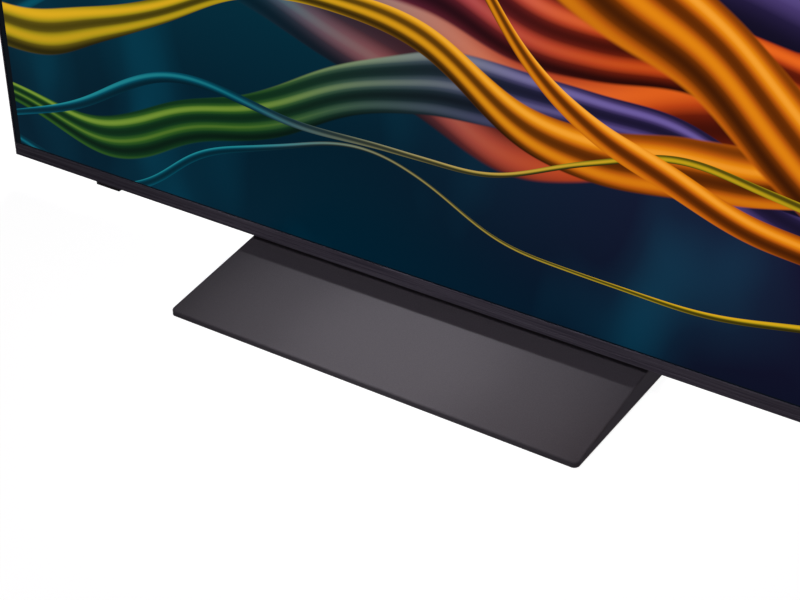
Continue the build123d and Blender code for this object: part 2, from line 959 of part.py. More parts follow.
def jack_window(grow):
    """Opening in the recess wall through which the sockets are reached."""
    low = jack_recess_low + jack_window_inset
    high = jack_recess_high - jack_window_inset
    return slab(recess_inner - cover_wall - overrun, recess_inner + overrun, board_front + grow,
                board_back + jack_window_depth - grow, low + grow, high - grow)


def jack_panel():
    """Plate round the sockets, behind the window in the recess wall."""
    low = jack_recess_low + jack_window_inset
    high = jack_recess_high - jack_window_inset
    x1 = recess_inner - cover_wall
    lip = jack_window_inset / 2
    panel = slab(x1 - jack_panel_thickness, x1, board_back + seat_gap, board_back + jack_window_depth + lip,
                 low - lip, high + lip)
    near = board_back - overrun
    reach = (x1 - jack_panel_thickness - overrun, recess_inner + overrun)
    for level in video_levels:
        half = video_height / 2 + seat_gap
        panel = panel - slab(*reach, near, board_back + video_rise + seat_gap, level - half, level + half)
    for level in data_levels:
        half = data_height / 2 + seat_gap
        panel = panel - slab(*reach, near, board_back + data_rise + seat_gap, level - half, level + half)
    half = network_height / 2 + seat_gap
    panel = panel - slab(*reach, near, board_back + network_rise + seat_gap, network_level - half,
                         network_level + half)
    half = optical_side / 2 + seat_gap
    panel = panel - slab(*reach, near, board_back + optical_side + seat_gap, optical_level - half,
                         optical_level + half)
    for level in aerial_levels:
        middle = board_back + aerial_block / 2
        panel = panel - rod_across(*reach, middle, level, aerial_radius + seat_gap)
    return panel


def power_inlet():
    """Figure-of-eight mains inlet with two pins, open to the side."""
    x0 = -recess_inner
    level = (inlet_recess_low + inlet_recess_high) / 2
    middle = board_back + inlet_rise / 2
    body = slab(x0, x0 + inlet_depth, board_back, board_back + inlet_rise, level - inlet_height / 2,
                level + inlet_height / 2)
    half = inlet_pin_spacing / 2
    cavity = slab(x0 - overrun, x0 + inlet_depth - inlet_wall, middle - inlet_bore, middle + inlet_bore,
                  level - half, level + half)
    for side in (-1, 1):
        cavity = cavity + rod_across(x0 - overrun, x0 + inlet_depth - inlet_wall, middle,
                                     level + side * half, inlet_bore)
    body = body - cavity
    for side in (-1, 1):
        body = body + rod_across(x0 + inlet_wall, x0 + inlet_depth, middle, level + side * half, inlet_pin)
    return body


def inlet_window():
    level = (inlet_recess_low + inlet_recess_high) / 2
    half = inlet_height / 2 + seat_gap
    return slab(-recess_inner - overrun, -recess_inner + cover_wall + overrun, board_back - seat_gap,
                board_back + inlet_rise + seat_gap, level - half, level + half)


# Speakers

def speaker_middle(side):
    return side * (speaker_inner + speaker_length / 2)


def stadium(x, h0, h1, length, width, taper=0):
    """Long-round plug that stands upright at the middle of a speaker's depth."""
    middle = front_y + (speaker_front + speaker_rear) / 2
    base = Pos(x, middle, bottom_z + h0) * SlotOverall(length, width)
    return extrude(base, amount=h1 - h0, taper=taper)


def speaker_box(side):
    """Closed chamber with an oval hole in its underside."""
    x = speaker_middle(side)
    half = speaker_length / 2
    outer = slab(x - half, x + half, speaker_front, speaker_rear, speaker_low, speaker_high)
    inner = slab(x - half + speaker_wall, x + half - speaker_wall, speaker_front + speaker_wall,
                 speaker_rear - speaker_wall, speaker_low + speaker_wall, speaker_high - speaker_wall)
    hole = stadium(x, speaker_low - overrun, speaker_low + overrun, driver_length, driver_width)
    return outer - inner - hole


def speaker_driver(side):
    """Oval basket with four struts that carry the ring magnet over the cone."""
    x = speaker_middle(side)
    middle = (speaker_front + speaker_rear) / 2
    length = driver_length - 2 * seat_gap
    width = driver_width - 2 * seat_gap
    plate_top = speaker_low + driver_plate
    plate = stadium(x, speaker_low, plate_top, length, width)
    plate = plate - stadium(x, speaker_low - overrun, speaker_low + overrun, length - 2 * driver_opening,
                            width - 2 * driver_opening)
    magnet_low = speaker_low + magnet_rise
    magnet_high = magnet_low + magnet_height
    depth_y = front_y + middle
    magnet = post(x, depth_y, bottom_z + magnet_low, bottom_z + magnet_high, magnet_radius)
    groove_top = magnet_low + magnet_height * magnet_groove_share
    groove = post(x, depth_y, bottom_z + magnet_low - overrun, bottom_z + groove_top,
                  coil_radius + coil_clearance)
    core = post(x, depth_y, bottom_z + magnet_low, bottom_z + groove_top,
                coil_radius - coil_wall - coil_clearance)
    driver = plate + (magnet - groove + core)
    reach = length / 2 - driver_opening / 2
    for end in (-1, 1):
        strut = post(x + end * reach, depth_y, bottom_z + speaker_low, bottom_z + magnet_high, strut_radius)
        x0, x1 = sorted((x, x + end * reach))
        beam = slab(x0, x1, middle - strut_radius, middle + strut_radius,
                    magnet_high - driver_plate, magnet_high)
        driver = driver + strut + beam
    return driver


def speaker_cone(side):
    """Oval paper cone with its voice coil."""
    x = speaker_middle(side)
    middle = front_y + (speaker_front + speaker_rear) / 2
    length = driver_length - 2 * (seat_gap + driver_opening + cone_gap)
    width = driver_width - 2 * (seat_gap + driver_opening + cone_gap)
    low = speaker_low
    outer = stadium(x, low, low + cone_height, length, width, cone_taper)
    inner = stadium(x, low - cone_shell, low + cone_height - cone_shell, length, width, cone_taper)
    coil_low = bottom_z + low + cone_height - cone_shell
    coil_high = bottom_z + low + magnet_rise + coil_depth - coil_wall
    coil = post(x, middle, coil_low, coil_high, coil_radius)
    coil = coil - post(x, middle, coil_low + cone_shell, coil_high + overrun, coil_radius - coil_wall)
    return outer - inner + coil


def speaker_pads():
    """Rubber pads between each speaker box and the chassis."""
    h = (speaker_low + speaker_high) / 2
    pads = []
    for side in (-1, 1):
        for offset in (-speaker_length / 3, speaker_length / 3):
            pads.append(peg(speaker_middle(side) + offset, h, pan_depth, speaker_front, speaker_pad_radius))
    return pads


# Sensor and button module

def module_centre():
    return module_left + module_width / 2


def module_y():
    return front_y + module_front + module_depth * peg_depth_share


def module_peg_places():
    inset = 2 * peg_radius + module_wall
    return [module_left + inset, module_left + module_width - inset]


def module_box(inset, h0, h1):
    x1 = module_left + module_width
    return slab(module_left + inset, x1 - inset, module_front + inset, module_front + module_depth - inset,
                h0, h1)


def button_outline(grow, h0, h1):
    d = front_y + module_front + module_depth / 2
    pad = block(module_centre() - button_length / 2 - grow, module_centre() + button_length / 2 + grow,
                d - button_width / 2 - grow, d + button_width / 2 + grow, bottom_z + h0, bottom_z + h1)
    return fillet(pad.edges().filter_by(Axis.Z), button_width / 3)


def sensor_housing():
    """Shallow tray under the bezel, with two pegs through the bezel's lip."""
    tray = module_box(0, -module_height, 0)
    tray = fillet(tray.edges().filter_by(Axis.Z), module_wall)
    tray = tray - module_box(module_wall, -module_height + module_wall, overrun)
    tray = tray - button_outline(button_clearance, -module_height - overrun, 0)
    tray = tray - sensor_window_shape(0)
    floor = bottom_z - module_height
    for x in module_peg_places():
        tray = tray + post(x, module_y(), floor, bottom_z + frame_wall, peg_radius)
    return tray


def sensor_window_shape(shrink):
    x0 = module_left + window_inset + shrink
    x1 = module_left + module_width - window_inset - shrink
    return slab(x0, x1, module_front, module_front + module_wall, -module_height + module_wall + shrink, 0)


def sensor_window():
    return sensor_window_shape(seat_gap / 4)


def sensor_board():
    sheet = module_box(module_wall + seat_gap, -sensor_board_thickness, 0)
    for x in module_peg_places():
        sheet = sheet - post(x, module_y(), 0, bottom_z + overrun, peg_radius + peg_clearance)
    return sheet


def key_switch():
    x = module_centre()
    d = module_front + module_depth / 2
    low = -module_height + module_wall + button_flange + button_travel + seat_gap
    return slab(x - switch_side / 2, x + switch_side / 2, d - switch_side / 2, d + switch_side / 2,
                low, -sensor_board_thickness)


def power_button():
    """Key cap that hangs through the tray floor by its flange."""
    floor = -module_height + module_wall
    cap = button_outline(0, -module_height - button_proud, floor)
    flange = button_outline(button_clearance + button_flange, floor, floor + button_flange)
    return cap + flange


# Back cover

def cover_boss_places():
    side = half_width - cover_boss_side
    top = body_height - cover_boss_side
    step = (top - cover_boss_low) / cover_boss_rows
    places = [(x, top) for x in spread(cover_boss_columns, 2 * side)]
    for row in range(cover_boss_rows):
        places += [(-side, cover_boss_low + row * step), (side, cover_boss_low + row * step)]
    return places


def bulge(inset, far):
    """Raised lower part of the cover, drawn in by inset, out to depth far."""
    near = thin_depth - 2 * cover_wall
    faces = []
    for depth, draw in ((near, 0), (far, bulge_taper)):
        width = 2 * (bulge_half - inset - draw)
        height = bulge_high - bulge_low - 2 * (inset + draw)
        middle = bottom_z + (bulge_high + bulge_low) / 2
        plane = Plane(origin=(0, front_y + depth, middle), x_dir=(1, 0, 0), z_dir=(0, -1, 0))
        faces.append(plane * RectangleRounded(width, height, bulge_corner - inset))
    return loft(faces)


def recess(side, low, high, grow):
    """Step in the bulge whose wall faces the side, for sockets."""
    x0, x1 = sorted((side * (recess_inner - grow), side * (half_width + overrun)))
    return slab(x0, x1, recess_depth - grow, body_depth + overrun, low - grow, high + grow)


def recesses(grow):
    return [recess(1, jack_recess_low, jack_recess_high, grow),
            recess(-1, inlet_recess_low, inlet_recess_high, grow)]


def vents():
    """Slots in two rows across the upper half of the bulge."""
    cutters = []
    for h in vent_levels:
        for x in spread(vent_count, vent_pitch * (vent_count - 1)):
            cutters.append(slab(x - vent_width / 2, x + vent_width / 2, body_depth - cover_wall - overrun,
                                body_depth + overrun, h - vent_length / 2, h + vent_length / 2))
    return cutters


def grilles():
    """Slots under each speaker."""
    middle = (speaker_front + speaker_rear) / 2
    cutters = []
    for side in (-1, 1):
        for x in spread(grille_count, grille_pitch * (grille_count - 1)):
            centre = speaker_middle(side) + x
            cutters.append(slab(centre - grille_width / 2, centre + grille_width / 2,
                                middle - grille_length / 2, middle + grille_length / 2,
                                bulge_low - overrun, speaker_low - seat_gap))
    return cutters


def spacer_places():
    return [(x * wall_mount_width / 2, wall_mount_centre + h * wall_mount_height / 2)
            for x in (-1, 1) for h in (-1, 1)]


def back_cover():
    """Moulded shell: a thin upper part and a deeper lower part with recesses for sockets."""
    thin = slab(-half_width, half_width, cover_start, thin_depth, 0, body_height)
    rear_edges = thin.faces().sort_by(Axis.Y)[-1].edges()
    thin = fillet(rear_edges, cover_round)
    outer = thin + bulge(0, body_depth)
    thin_room = slab(-half_width + cover_wall, half_width - cover_wall, cover_start - overrun, thin_inside,
                     cover_wall, body_height - cover_wall)
    room = thin_room + bulge(cover_wall, cover_inside)
    outer = outer - recesses(0)
    room = room - recesses(cover_wall)
    cover = outer - room
    for x, h in cover_boss_places():
        cover = cover + peg(x, h, pan_depth, thin_inside, cover_boss_radius)
        cover = cover - peg(x, h, pan_depth - overrun, thin_depth + overrun, screw_radius + screw_clearance)
    well = big_head_radius + neck_slot_clearance
    for x, h in stand_screw_places():
        cover = cover + peg(x, h, neck_back + seat_gap, cover_inside, well + cover_wall)
        cover = cover - peg(x, h, neck_back, body_depth + overrun, well)
    for x, h in spacer_places():
        cover = cover - peg(x, h, cover_inside - overrun, body_depth + overrun,
                            spacer_radius + spacer_clearance)
    for x, h in holder_screw_places():
        cover = cover - peg(x, h, cover_inside - overrun, body_depth + overrun,
                            screw_radius + pilot_clearance)
    half = sleeve_width / 2 + neck_slot_clearance
    cover = cover - rounded_bar(half, sleeve_front - neck_slot_clearance, sleeve_rear + neck_slot_clearance,
                                -overrun, sleeve_top, sleeve_round)
    cover = cover - jack_window(0) - inlet_window()
    return cover - (vents() + grilles())


def cover_screws():
    return [screw_back(x, h, thin_depth, pan_floor, screw_radius, screw_head_radius, screw_head_height)
            for x, h in cover_boss_places()]


def wall_mount_spacers():
    spacers = []
    for x, h in spacer_places():
        spacer = peg(x, h, pan_depth, body_depth, spacer_radius)
        thread = peg(x, h, body_depth - spacer_thread_length, body_depth + overrun, spacer_thread_radius)
        spacers.append(spacer - thread)
    return spacers


# Cable holder

def holder_screw_places():
    return [(x, holder_level) for x in (-holder_width / 4, holder_width / 4)]


def gate_axis_x():
    return -holder_width / 2 + holder_arm / 2 + gate_thickness / 4


def gate_axis_depth():
    return body_depth + holder_plate + holder_reach


def cable_holder():
    """Plate on the back cover with a hinge fork at one end and a latch arm at the other."""
    half = holder_width / 2
    far = gate_axis_depth()
    plate = slab(-half, half, body_depth, body_depth + holder_plate, holder_low, holder_high)
    fork = slab(-half, -half + holder_arm, body_depth, far, holder_low, holder_high)
    fork = fork + rounded_end(holder_low, holder_high)
    gap = slab(-half - overrun, -half + 2 * holder_arm, far - holder_arm, far + holder_arm,
               gate_low, gate_high)
    latch = slab(half - holder_arm, half, body_depth, far - gate_thickness / 2 - gate_side_clearance,
                 holder_low, holder_high)
    holder = plate + fork - gap + latch
    holder = holder - gate_pin_bore(0)
    for x, h in holder_screw_places():
        holder = holder - peg(x, h, body_depth - overrun, body_depth + holder_plate + overrun,
                              screw_radius + screw_clearance)
    return holder


def upright(x, d, h0, h1, radius):
    return post(x, front_y + d, bottom_z + h0, bottom_z + h1, radius)


def rounded_end(low, high):
    """Round end about the hinge pin, as on the fork and on the gate."""
    return upright(gate_axis_x(), gate_axis_depth(), low, high, holder_arm * fork_round_share)


def gate_pin_bore(grow):
    return upright(gate_axis_x(), gate_axis_depth(), holder_low - overrun, holder_high + overrun,
                   gate_pin_radius + grow)


def cable_gate():
    """Bar that swings away from the latch arm, with a knuckle on the hinge pin."""
    low = gate_low + gate_side_clearance
    high = gate_high - gate_side_clearance
    half = holder_width / 2
    d = gate_axis_depth()
    knuckle = rounded_end(low, high)
    bar = slab(gate_axis_x(), half + latch_reach, d - gate_thickness / 2, d + gate_thickness / 2, low, high)
    hook = slab(half + gate_side_clearance, half + latch_reach, d - holder_arm, d + gate_thickness / 2,
                low, high)
    return knuckle + bar + hook - gate_pin_bore(gate_bore_clearance)


def gate_pin():
    return upright(gate_axis_x(), gate_axis_depth(), holder_low, holder_high, gate_pin_radius)


def holder_screws():
    seat = body_depth + holder_plate
    return [screw_back(x, h, seat, cover_inside, screw_radius, screw_head_radius, screw_head_height)
            for x, h in holder_screw_places()]


def parts():
    """Every sub-part by name, each a list of its solids."""
    outlines = board_outlines()
    pieces = {
        "stand_base_cover": [stand_base_cover()],
        "stand_base_plate": [stand_base_plate()],
        "stand_feet": stand_feet(),
        "base_screws": base_screws() + neck_screws(),
        "stand_neck": [stand_neck()],
        "neck_sleeve": [neck_sleeve()],
        "stand_bracket": [stand_bracket()],
        "stand_screws": stand_screws(),
        "bottom_bezel": [bottom_bezel()],
        "left_frame": [side_frame(-1)],
        "right_frame": [side_frame(1)],
        "top_frame": [top_frame()],
        "front_film": [front_film()],
        "lcd_glass": [lcd_glass()],
        "rear_film": [rear_film()],
        "middle_frame": [middle_frame()],
        "optical_sheets": [optical_sheet(sheet_front, sheet_front + sheet_thickness),
                           optical_sheet(sheet_front + sheet_thickness, diffuser_front)],
        "diffuser_plate": [optical_sheet(diffuser_front, rim_front)],
        "rear_chassis": [rear_chassis()],
        "light_bars": light_bars(),
        "light_bar_lenses": lenses(),
        "reflector_sheet": [reflector()],
        "diffuser_posts": diffuser_posts(),
        "source_boards": source_boards(),
        "panel_flexes": panel_flexes(),
        "ribbon_cables": [ribbon(-ribbon_x), ribbon(ribbon_x)],
        "board_standoffs": standoffs(),
        "chassis_screws": board_screws() + bracket_screws(),
        "board_chips": main_chips(),
        "main_heat_sink": [main_heat_sink()],
        "power_transformers": power_transformers(),
        "power_capacitors": power_capacitors(),
        "power_heat_sinks": power_heat_sinks(),
        "internal_wiring": wiring(),
        "video_sockets": video_sockets(),
        "data_sockets": data_sockets(),
        "network_socket": [network_socket()],
        "optical_socket": [optical_socket()],
        "aerial_sockets": aerial_sockets(),
        "jack_panel": [jack_panel()],
        "power_inlet": [power_inlet()],
        "speaker_boxes": [speaker_box(-1), speaker_box(1)],
        "speaker_drivers": [speaker_driver(-1), speaker_driver(1)],
        "speaker_pads": speaker_pads(),
        "sensor_housing": [sensor_housing()],
        "sensor_window": [sensor_window()],
        "sensor_board": [sensor_board(), key_switch()],
        "power_button": [power_button()],
        "back_cover": [back_cover()],
        "cover_screws": cover_screws() + holder_screws(),
        "wall_mount_spacers": wall_mount_spacers(),
        "cable_holder": [cable_holder()],
        "cable_gate": [cable_gate()],
        "cable_gate_pin": [gate_pin()],
    }
    for name, outline in outlines.items():
        pieces[name] = [drilled_board(outline)]
    for word, side in (("left", -1), ("right", 1)):
        pieces[word + "_speaker_cone"] = [speaker_cone(side)]
    return pieces


os.makedirs("parts", exist_ok=True)
for name, pieces in parts().items():
    save(name, pieces)
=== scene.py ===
import math
from collections import namedtuple

import bmesh
import bpy
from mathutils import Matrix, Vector


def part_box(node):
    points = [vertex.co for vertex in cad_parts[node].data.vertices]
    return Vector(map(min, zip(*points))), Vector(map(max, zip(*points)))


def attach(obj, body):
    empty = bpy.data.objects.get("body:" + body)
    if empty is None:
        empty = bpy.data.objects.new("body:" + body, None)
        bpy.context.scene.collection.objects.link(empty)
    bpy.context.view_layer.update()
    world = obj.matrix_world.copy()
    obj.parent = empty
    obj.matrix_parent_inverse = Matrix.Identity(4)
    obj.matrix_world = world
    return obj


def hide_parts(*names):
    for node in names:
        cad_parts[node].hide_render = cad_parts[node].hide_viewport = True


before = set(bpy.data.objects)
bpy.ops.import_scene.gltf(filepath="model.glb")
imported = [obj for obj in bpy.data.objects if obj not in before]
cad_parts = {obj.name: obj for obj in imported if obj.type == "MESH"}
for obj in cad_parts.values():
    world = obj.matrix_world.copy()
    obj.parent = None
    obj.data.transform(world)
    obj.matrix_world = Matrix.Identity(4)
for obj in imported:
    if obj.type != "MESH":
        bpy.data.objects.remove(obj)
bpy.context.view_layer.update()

bl_info = {
    "name": "Flat screen television finish",
    "version": (1, 0, 0),
    "blender": (4, 5, 0),
    "location": "3D View > Sidebar > Television",
    "description": "Finishes for a flat screen television on a wedge-shaped stand",
    "category": "Object",
}

MM = 0.001

FILM_LOW, FILM_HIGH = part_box("front_film")
BEZEL_LOW, BEZEL_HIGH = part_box("bottom_bezel")
BASE_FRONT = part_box("stand_base_cover")[0].y

WHITE = "ffffff"


def linear(text):
    """Scene-linear colour with alpha from an sRGB hex value such as 2b2c2e."""
    shares = [int(text[i:i + 2], 16) / 255 for i in (0, 2, 4)]
    return [c / 12.92 if c <= 0.04045 else ((c + 0.055) / 1.055) ** 2.4 for c in shares] + [1.0]


def add(tree, kind, settings=None, inputs=None, stops=()):
    """One node with its settings; an input takes a value, a socket or another node's first output.

    Stops are the (position, hex) pairs of a node that turns a value into colours.
    """
    node = tree.nodes.new(kind)
    for key, value in (settings or {}).items():
        setattr(node, key, value)
    for key, source in (inputs or {}).items():
        if isinstance(source, bpy.types.Node):
            source = source.outputs[0]
        if isinstance(source, bpy.types.NodeSocket):
            tree.links.new(source, node.inputs[key])
        else:
            node.inputs[key].default_value = source
    if stops:
        elements = node.color_ramp.elements
        elements.remove(elements[1])
        elements[0].position = stops[0][0]
        elements[0].color = linear(stops[0][1])
        for position, text in stops[1:]:
            elements.new(position).color = linear(text)
    return node


class Finish:
    """A node material, the patterns in its surface and what they change."""

    def __init__(self, name, base, roughness, metallic=0.0, **inputs):
        self.material = bpy.data.materials.new(name)
        self.material.use_nodes = True
        self.tree = self.material.node_tree
        self.shader = self.tree.nodes["Principled BSDF"]
        self.shader.inputs["Base Color"].default_value = linear(base)
        self.shader.inputs["Roughness"].default_value = roughness
        self.shader.inputs["Metallic"].default_value = metallic
        for key, value in inputs.items():
            self.shader.inputs[key.replace("_", " ")].default_value = value

    def place(self):
        """Position on the piece in metres, in the row's frame."""
        return add(self.tree, "ShaderNodeTexCoord").outputs["Object"]

    def grain(self, spacing, stretch=(1, 1, 1), detail=2.0, roughness=0.5):
        """Grains about a spacing apart, in metres, longer along an axis with a small stretch."""
        stretched = add(self.tree, "ShaderNodeMapping", inputs={"Vector": self.place(), "Scale": stretch})
        return add(self.tree, "ShaderNodeTexNoise", inputs={
            "Vector": stretched, "Scale": 1 / spacing, "Detail": detail, "Roughness": roughness})

    def colour(self, source, stops):
        """Base colour that follows a pattern; stops are (position, hex)."""
        shades = add(self.tree, "ShaderNodeValToRGB", inputs={"Fac": source}, stops=stops)
        self.tree.links.new(shades.outputs["Color"], self.shader.inputs["Base Color"])

    def vary(self, source, low, high):
        """Roughness that wanders between low and high with a pattern."""
        spread = add(self.tree, "ShaderNodeMapRange", inputs={"Value": source, "To Min": low, "To Max": high})
        self.tree.links.new(spread.outputs["Result"], self.shader.inputs["Roughness"])

    def relief(self, source, height, strength=1.0):
        """Bumps up to a height, in metres, where a pattern is light."""
        bump = add(self.tree, "ShaderNodeBump",
                   inputs={"Height": source, "Distance": height, "Strength": strength})
        self.tree.links.new(bump.outputs["Normal"], self.shader.inputs["Normal"])


def satin_painted_plate(colours):
    """Moulded base cover in satin metallic lacquer: an even dark grey without a sharp highlight.

    Flakes in a lacquer are far finer than a pixel, so they are drawn 0.9 mm apart to show at all, and
    the coat's faint unevenness 0.7 mm wide.
    """
    finish = Finish("satin_metallic_lacquer", colours.plate, 0.42, Specular_IOR_Level=0.007)
    flake = finish.grain(0.9 * MM, detail=1.0)
    finish.colour(flake, [(0.35, colours.plate), (0.65, colours.plate_flake)])
    finish.vary(flake, 0.36, 0.46)
    finish.relief(finish.grain(0.7 * MM, detail=1.0), 0.004 * MM)
    return finish.material


HAIRLINE_SPACING = 2.4 * MM
HAIRLINE_LENGTH = 200 * MM


def hairline_aluminium(name, tone, light, along):
    """Anodised aluminium brushed along its length: dark with fine lighter streaks.

    Brushed hairlines are about 0.1 mm apart, and are drawn 2.4 mm apart so that they show.
    """
    finish = Finish(name, tone, 0.4, Specular_IOR_Level=0.005)
    stretch = tuple(HAIRLINE_SPACING / HAIRLINE_LENGTH if axis == along else 1.0 for axis in range(3))
    streak = finish.grain(HAIRLINE_SPACING, stretch, detail=4.0, roughness=0.7)
    finish.colour(streak, [(0.38, tone), (0.62, light)])
    finish.vary(streak, 0.34, 0.48)
    finish.relief(streak, 0.02 * MM, 0.6)
    return finish.material


def moulded_plastic(name, tone, light, roughness, grain=0.8 * MM, height=0.03 * MM):
    """Moulded plastic, and paper as dull as it: no clear reflection, only a faint even sparkle.

    The grain that a spark-eroded mould leaves is about 0.2 mm wide, and is drawn coarser so that it shows.
    The tone drifts over about 60 mm, as the plastic's flow leaves it.
    """
    finish = Finish(name, tone, roughness)
    pits = finish.grain(grain, detail=3.0)
    finish.colour(finish.grain(60 * MM), [(0.3, tone), (0.7, light)])
    finish.vary(pits, roughness - 0.06, roughness + 0.08)
    finish.relief(pits, height)
    return finish.material


def glossy_black(name, tone, roughness=0.08):
    """Polished black moulding: a clear reflection that waves faintly every 9 mm."""
    finish = Finish(name, tone, roughness, Specular_IOR_Level=0.04)
    wave = finish.grain(9 * MM)
    finish.vary(wave, roughness, roughness + 0.05)
    finish.relief(wave, 0.01 * MM, 0.3)
    return finish.material


def metal(name, tone, light, roughness, spacing=1.5 * MM, metallic=1.0, stretch=(1, 1, 1)):
    """Plated, painted or extruded metal whose brightness wanders with its plating or rolling.

    The clouds have their real size: 1.5 mm in a plated layer, and 9 mm in galvanised sheet.
    """
    finish = Finish(name, tone, roughness, metallic)
    cloud = finish.grain(spacing, stretch, detail=3.0)
    finish.colour(cloud, [(0.35, tone), (0.65, light)])
    finish.vary(cloud, roughness - 0.05, roughness + 0.1)
    finish.relief(cloud, 0.01 * MM, 0.4)
    return finish.material


def rubber(name, tone):
    """Moulded elastomer: matt black with specks like dust, drawn 0.6 mm apart so that they show."""
    finish = Finish(name, tone, 0.78)
    speck = finish.grain(0.6 * MM)
    finish.colour(speck, [(0.4, tone), (0.75, "232323")])
    finish.vary(speck, 0.7, 0.86)
    finish.relief(speck, 0.03 * MM)
    return finish.material


def clear_lens():
    """Moulded clear acrylic: see-through, with faintly uneven highlights."""
    finish = Finish("clear_acrylic_lens", "f4f8fa", 0.06, Transmission_Weight=0.9, IOR=1.49)
    finish.relief(finish.grain(3 * MM), 0.01 * MM, 0.3)
    return finish.material


def ribbon_film():
    """Laminated flat cable: pale film with a row of conductors 1 mm apart along its length."""
    finish = Finish("flat_cable_film", "cdd2d4", 0.4)
    axes = add(finish.tree, "ShaderNodeSeparateXYZ", inputs={"Vector": finish.place()})
    turn = add(finish.tree, "ShaderNodeMath", {"operation": "MULTIPLY"},
               {0: axes.outputs["X"], 1: 2 * math.pi / (1 * MM)})
    waves = add(finish.tree, "ShaderNodeMath", {"operation": "SINE"}, {0: turn})
    finish.colour(waves, [(0.3, "b4babd"), (0.7, "dfe3e5")])
    finish.relief(waves, 0.03 * MM)
    return finish.material


def taped_winding():
    """Winding under polyester tape: glossy yellow in laps 20 mm wide, each a little uneven in tone."""
    finish = Finish("taped_winding", "c9a227", 0.45)
    axes = add(finish.tree, "ShaderNodeSeparateXYZ", inputs={"Vector": finish.place()})
    laps = add(finish.tree, "ShaderNodeMath", {"operation": "DIVIDE"}, {0: axes.outputs["Y"], 1: 20 * MM})
    level = add(finish.tree, "ShaderNodeMath", {"operation": "FRACT"}, {0: laps})
    finish.colour(level, [(0.3, "b8901c"), (0.5, "d6b23a"), (0.75, "c39a22")])
    finish.relief(finish.grain(1.5 * MM, (1, 0.1, 1)), 0.05 * MM)
    return finish.material


def circuit_board(name, tone, light):
    """Glass-epoxy board under solder mask: tracks show as slightly lighter right-angled lines.

    Tracks are under 1 mm apart, and are drawn 9 mm apart so that they show.
    """
    finish = Finish(name, tone, 0.35)
    tracks = add(finish.tree, "ShaderNodeTexBrick", {"offset": 0.5}, {
        "Vector": finish.place(), "Scale": 1 / (9 * MM), "Mortar Size": 0.06,
        "Color1": linear(tone), "Color2": linear(tone), "Mortar": linear(light)})
    finish.tree.links.new(tracks.outputs["Color"], finish.shader.inputs["Base Color"])
    finish.vary(finish.grain(2 * MM), 0.3, 0.42)
    return finish.material


# The picture is a generic design: ribbons of silk over teal that turns to navy on the right.
AMBER = [(0.0, "2c0f02"), (0.3, "6e3003"), (0.55, "b9590a"), (0.8, "e3850f"), (1.0, "ffae3c")]
SAFFRON = [(0.0, "1f1b05"), (0.35, "5a4e0c"), (0.6, "a08a12"), (1.0, "e2ae1c")]
EMBER = [(0.0, "220604"), (0.35, "651a08"), (0.65, "b84012"), (1.0, "ee6a1e")]
PLUM = [(0.0, "0d0a1a"), (0.4, "221a3c"), (0.7, "46376c"), (1.0, "7462a8")]
SEA = [(0.0, "001a26"), (0.4, "00303f"), (0.7, "004d60"), (1.0, "1f8a94")]
MOSS = [(0.0, "03160e"), (0.4, "0e3318"), (0.7, "2c561c"), (1.0, "7d9c36")]
TEAL_GROUND = [(0.0, "002132"), (0.25, "001d2c"), (0.6, "013040"), (1.0, "011a24")]
NAVY_GROUND = [(0.0, "060f20"), (0.25, "110f28"), (0.6, "1b1736"), (1.0, "0a0c1c")]
HAZE = [(0.5, "000000"), (0.62, "00222e"), (0.8, "004a60")]
# The margin round the design is unlit black mask, yet glows a faint dark teal: a painted reflection.
MARGIN_PAINTED_GLOW = "070d13"

# A ribbon's level, swing and half width are in metres, its lean in metres per metre along the width,
# its pitch in radians per metre, its phase in radians, and its folds in radians per half width. Its
# shades run from the left ones to the right ones.
Ribbon = namedtuple("Ribbon", "level lean swing pitch phase half_width folds left right")
RIBBONS = [
    Ribbon(0.500, 0.02, 0.060, 5.2, 0.4, 0.080, 7.0, SEA, PLUM),
    Ribbon(0.420, -0.10, 0.050, 6.1, 2.2, 0.050, 6.0, MOSS, PLUM),
    Ribbon(0.395, 0.10, 0.055, 7.0, 4.0, 0.040, 5.0, SEA, EMBER),
    Ribbon(0.310, 0.20, 0.040, 7.4, 1.1, 0.024, 8.0, MOSS, PLUM),
    Ribbon(0.370, 0.06, 0.045, 8.2, 3.0, 0.022, 6.0, SAFFRON, AMBER),
    Ribbon(0.520, -0.30, 0.060, 5.0, 5.1, 0.070, 9.0, PLUM, EMBER),
    Ribbon(0.560, -0.42, 0.045, 6.8, 0.8, 0.055, 8.0, SAFFRON, AMBER),
    Ribbon(0.280, 0.16, 0.030, 9.5, 5.4, 0.005, 3.0, SEA, SAFFRON),
    Ribbon(0.200, 0.08, 0.034, 8.1, 2.4, 0.004, 3.0, SEA, SAFFRON),
    Ribbon(0.480, -0.40, 0.050, 7.7, 2.9, 0.012, 4.0, SAFFRON, AMBER),
]

# How a ribbon swells and folds along the width, as shares of its own pitch, phase and half width.
SWELL_PITCH_SHARE = 0.7
SWELL_PHASE_SHARE = 1.9
SWELL_SHARE = 0.45
FOLD_PITCH_SHARE = 1.3
SOFT_EDGE_SHARE = 0.09

# The silk's light runs from 0 to 1 through its shades: the even part, and what a fold and a slope add.
SILK_LIGHT = 0.5
FOLD_LIGHT = 0.32
SLOPE_LIGHT = 0.18

# Between these places along the width, in metres, the left shades give way to the right ones.
SHADES_TURN = (-0.3, 0.25)
GROUND_TURN = (-0.2, 0.42)

# A slow noise shifts the design by up to 80 mm sideways and 150 mm up, so that no ribbon runs evenly.
WARP_SPACING = 384.6 * MM
WARP_REACH = (0.16, 0.16, 0.16)
WARP_SHIFT = (-0.08, -0.08, -0.01)

# Haze lies in wisps about 150 mm wide and 270 mm high.
HAZE_SPACING = 190 * MM
HAZE_STRETCH = (1.3, 1.0, 0.7)
HAZE_STRENGTH = 0.45


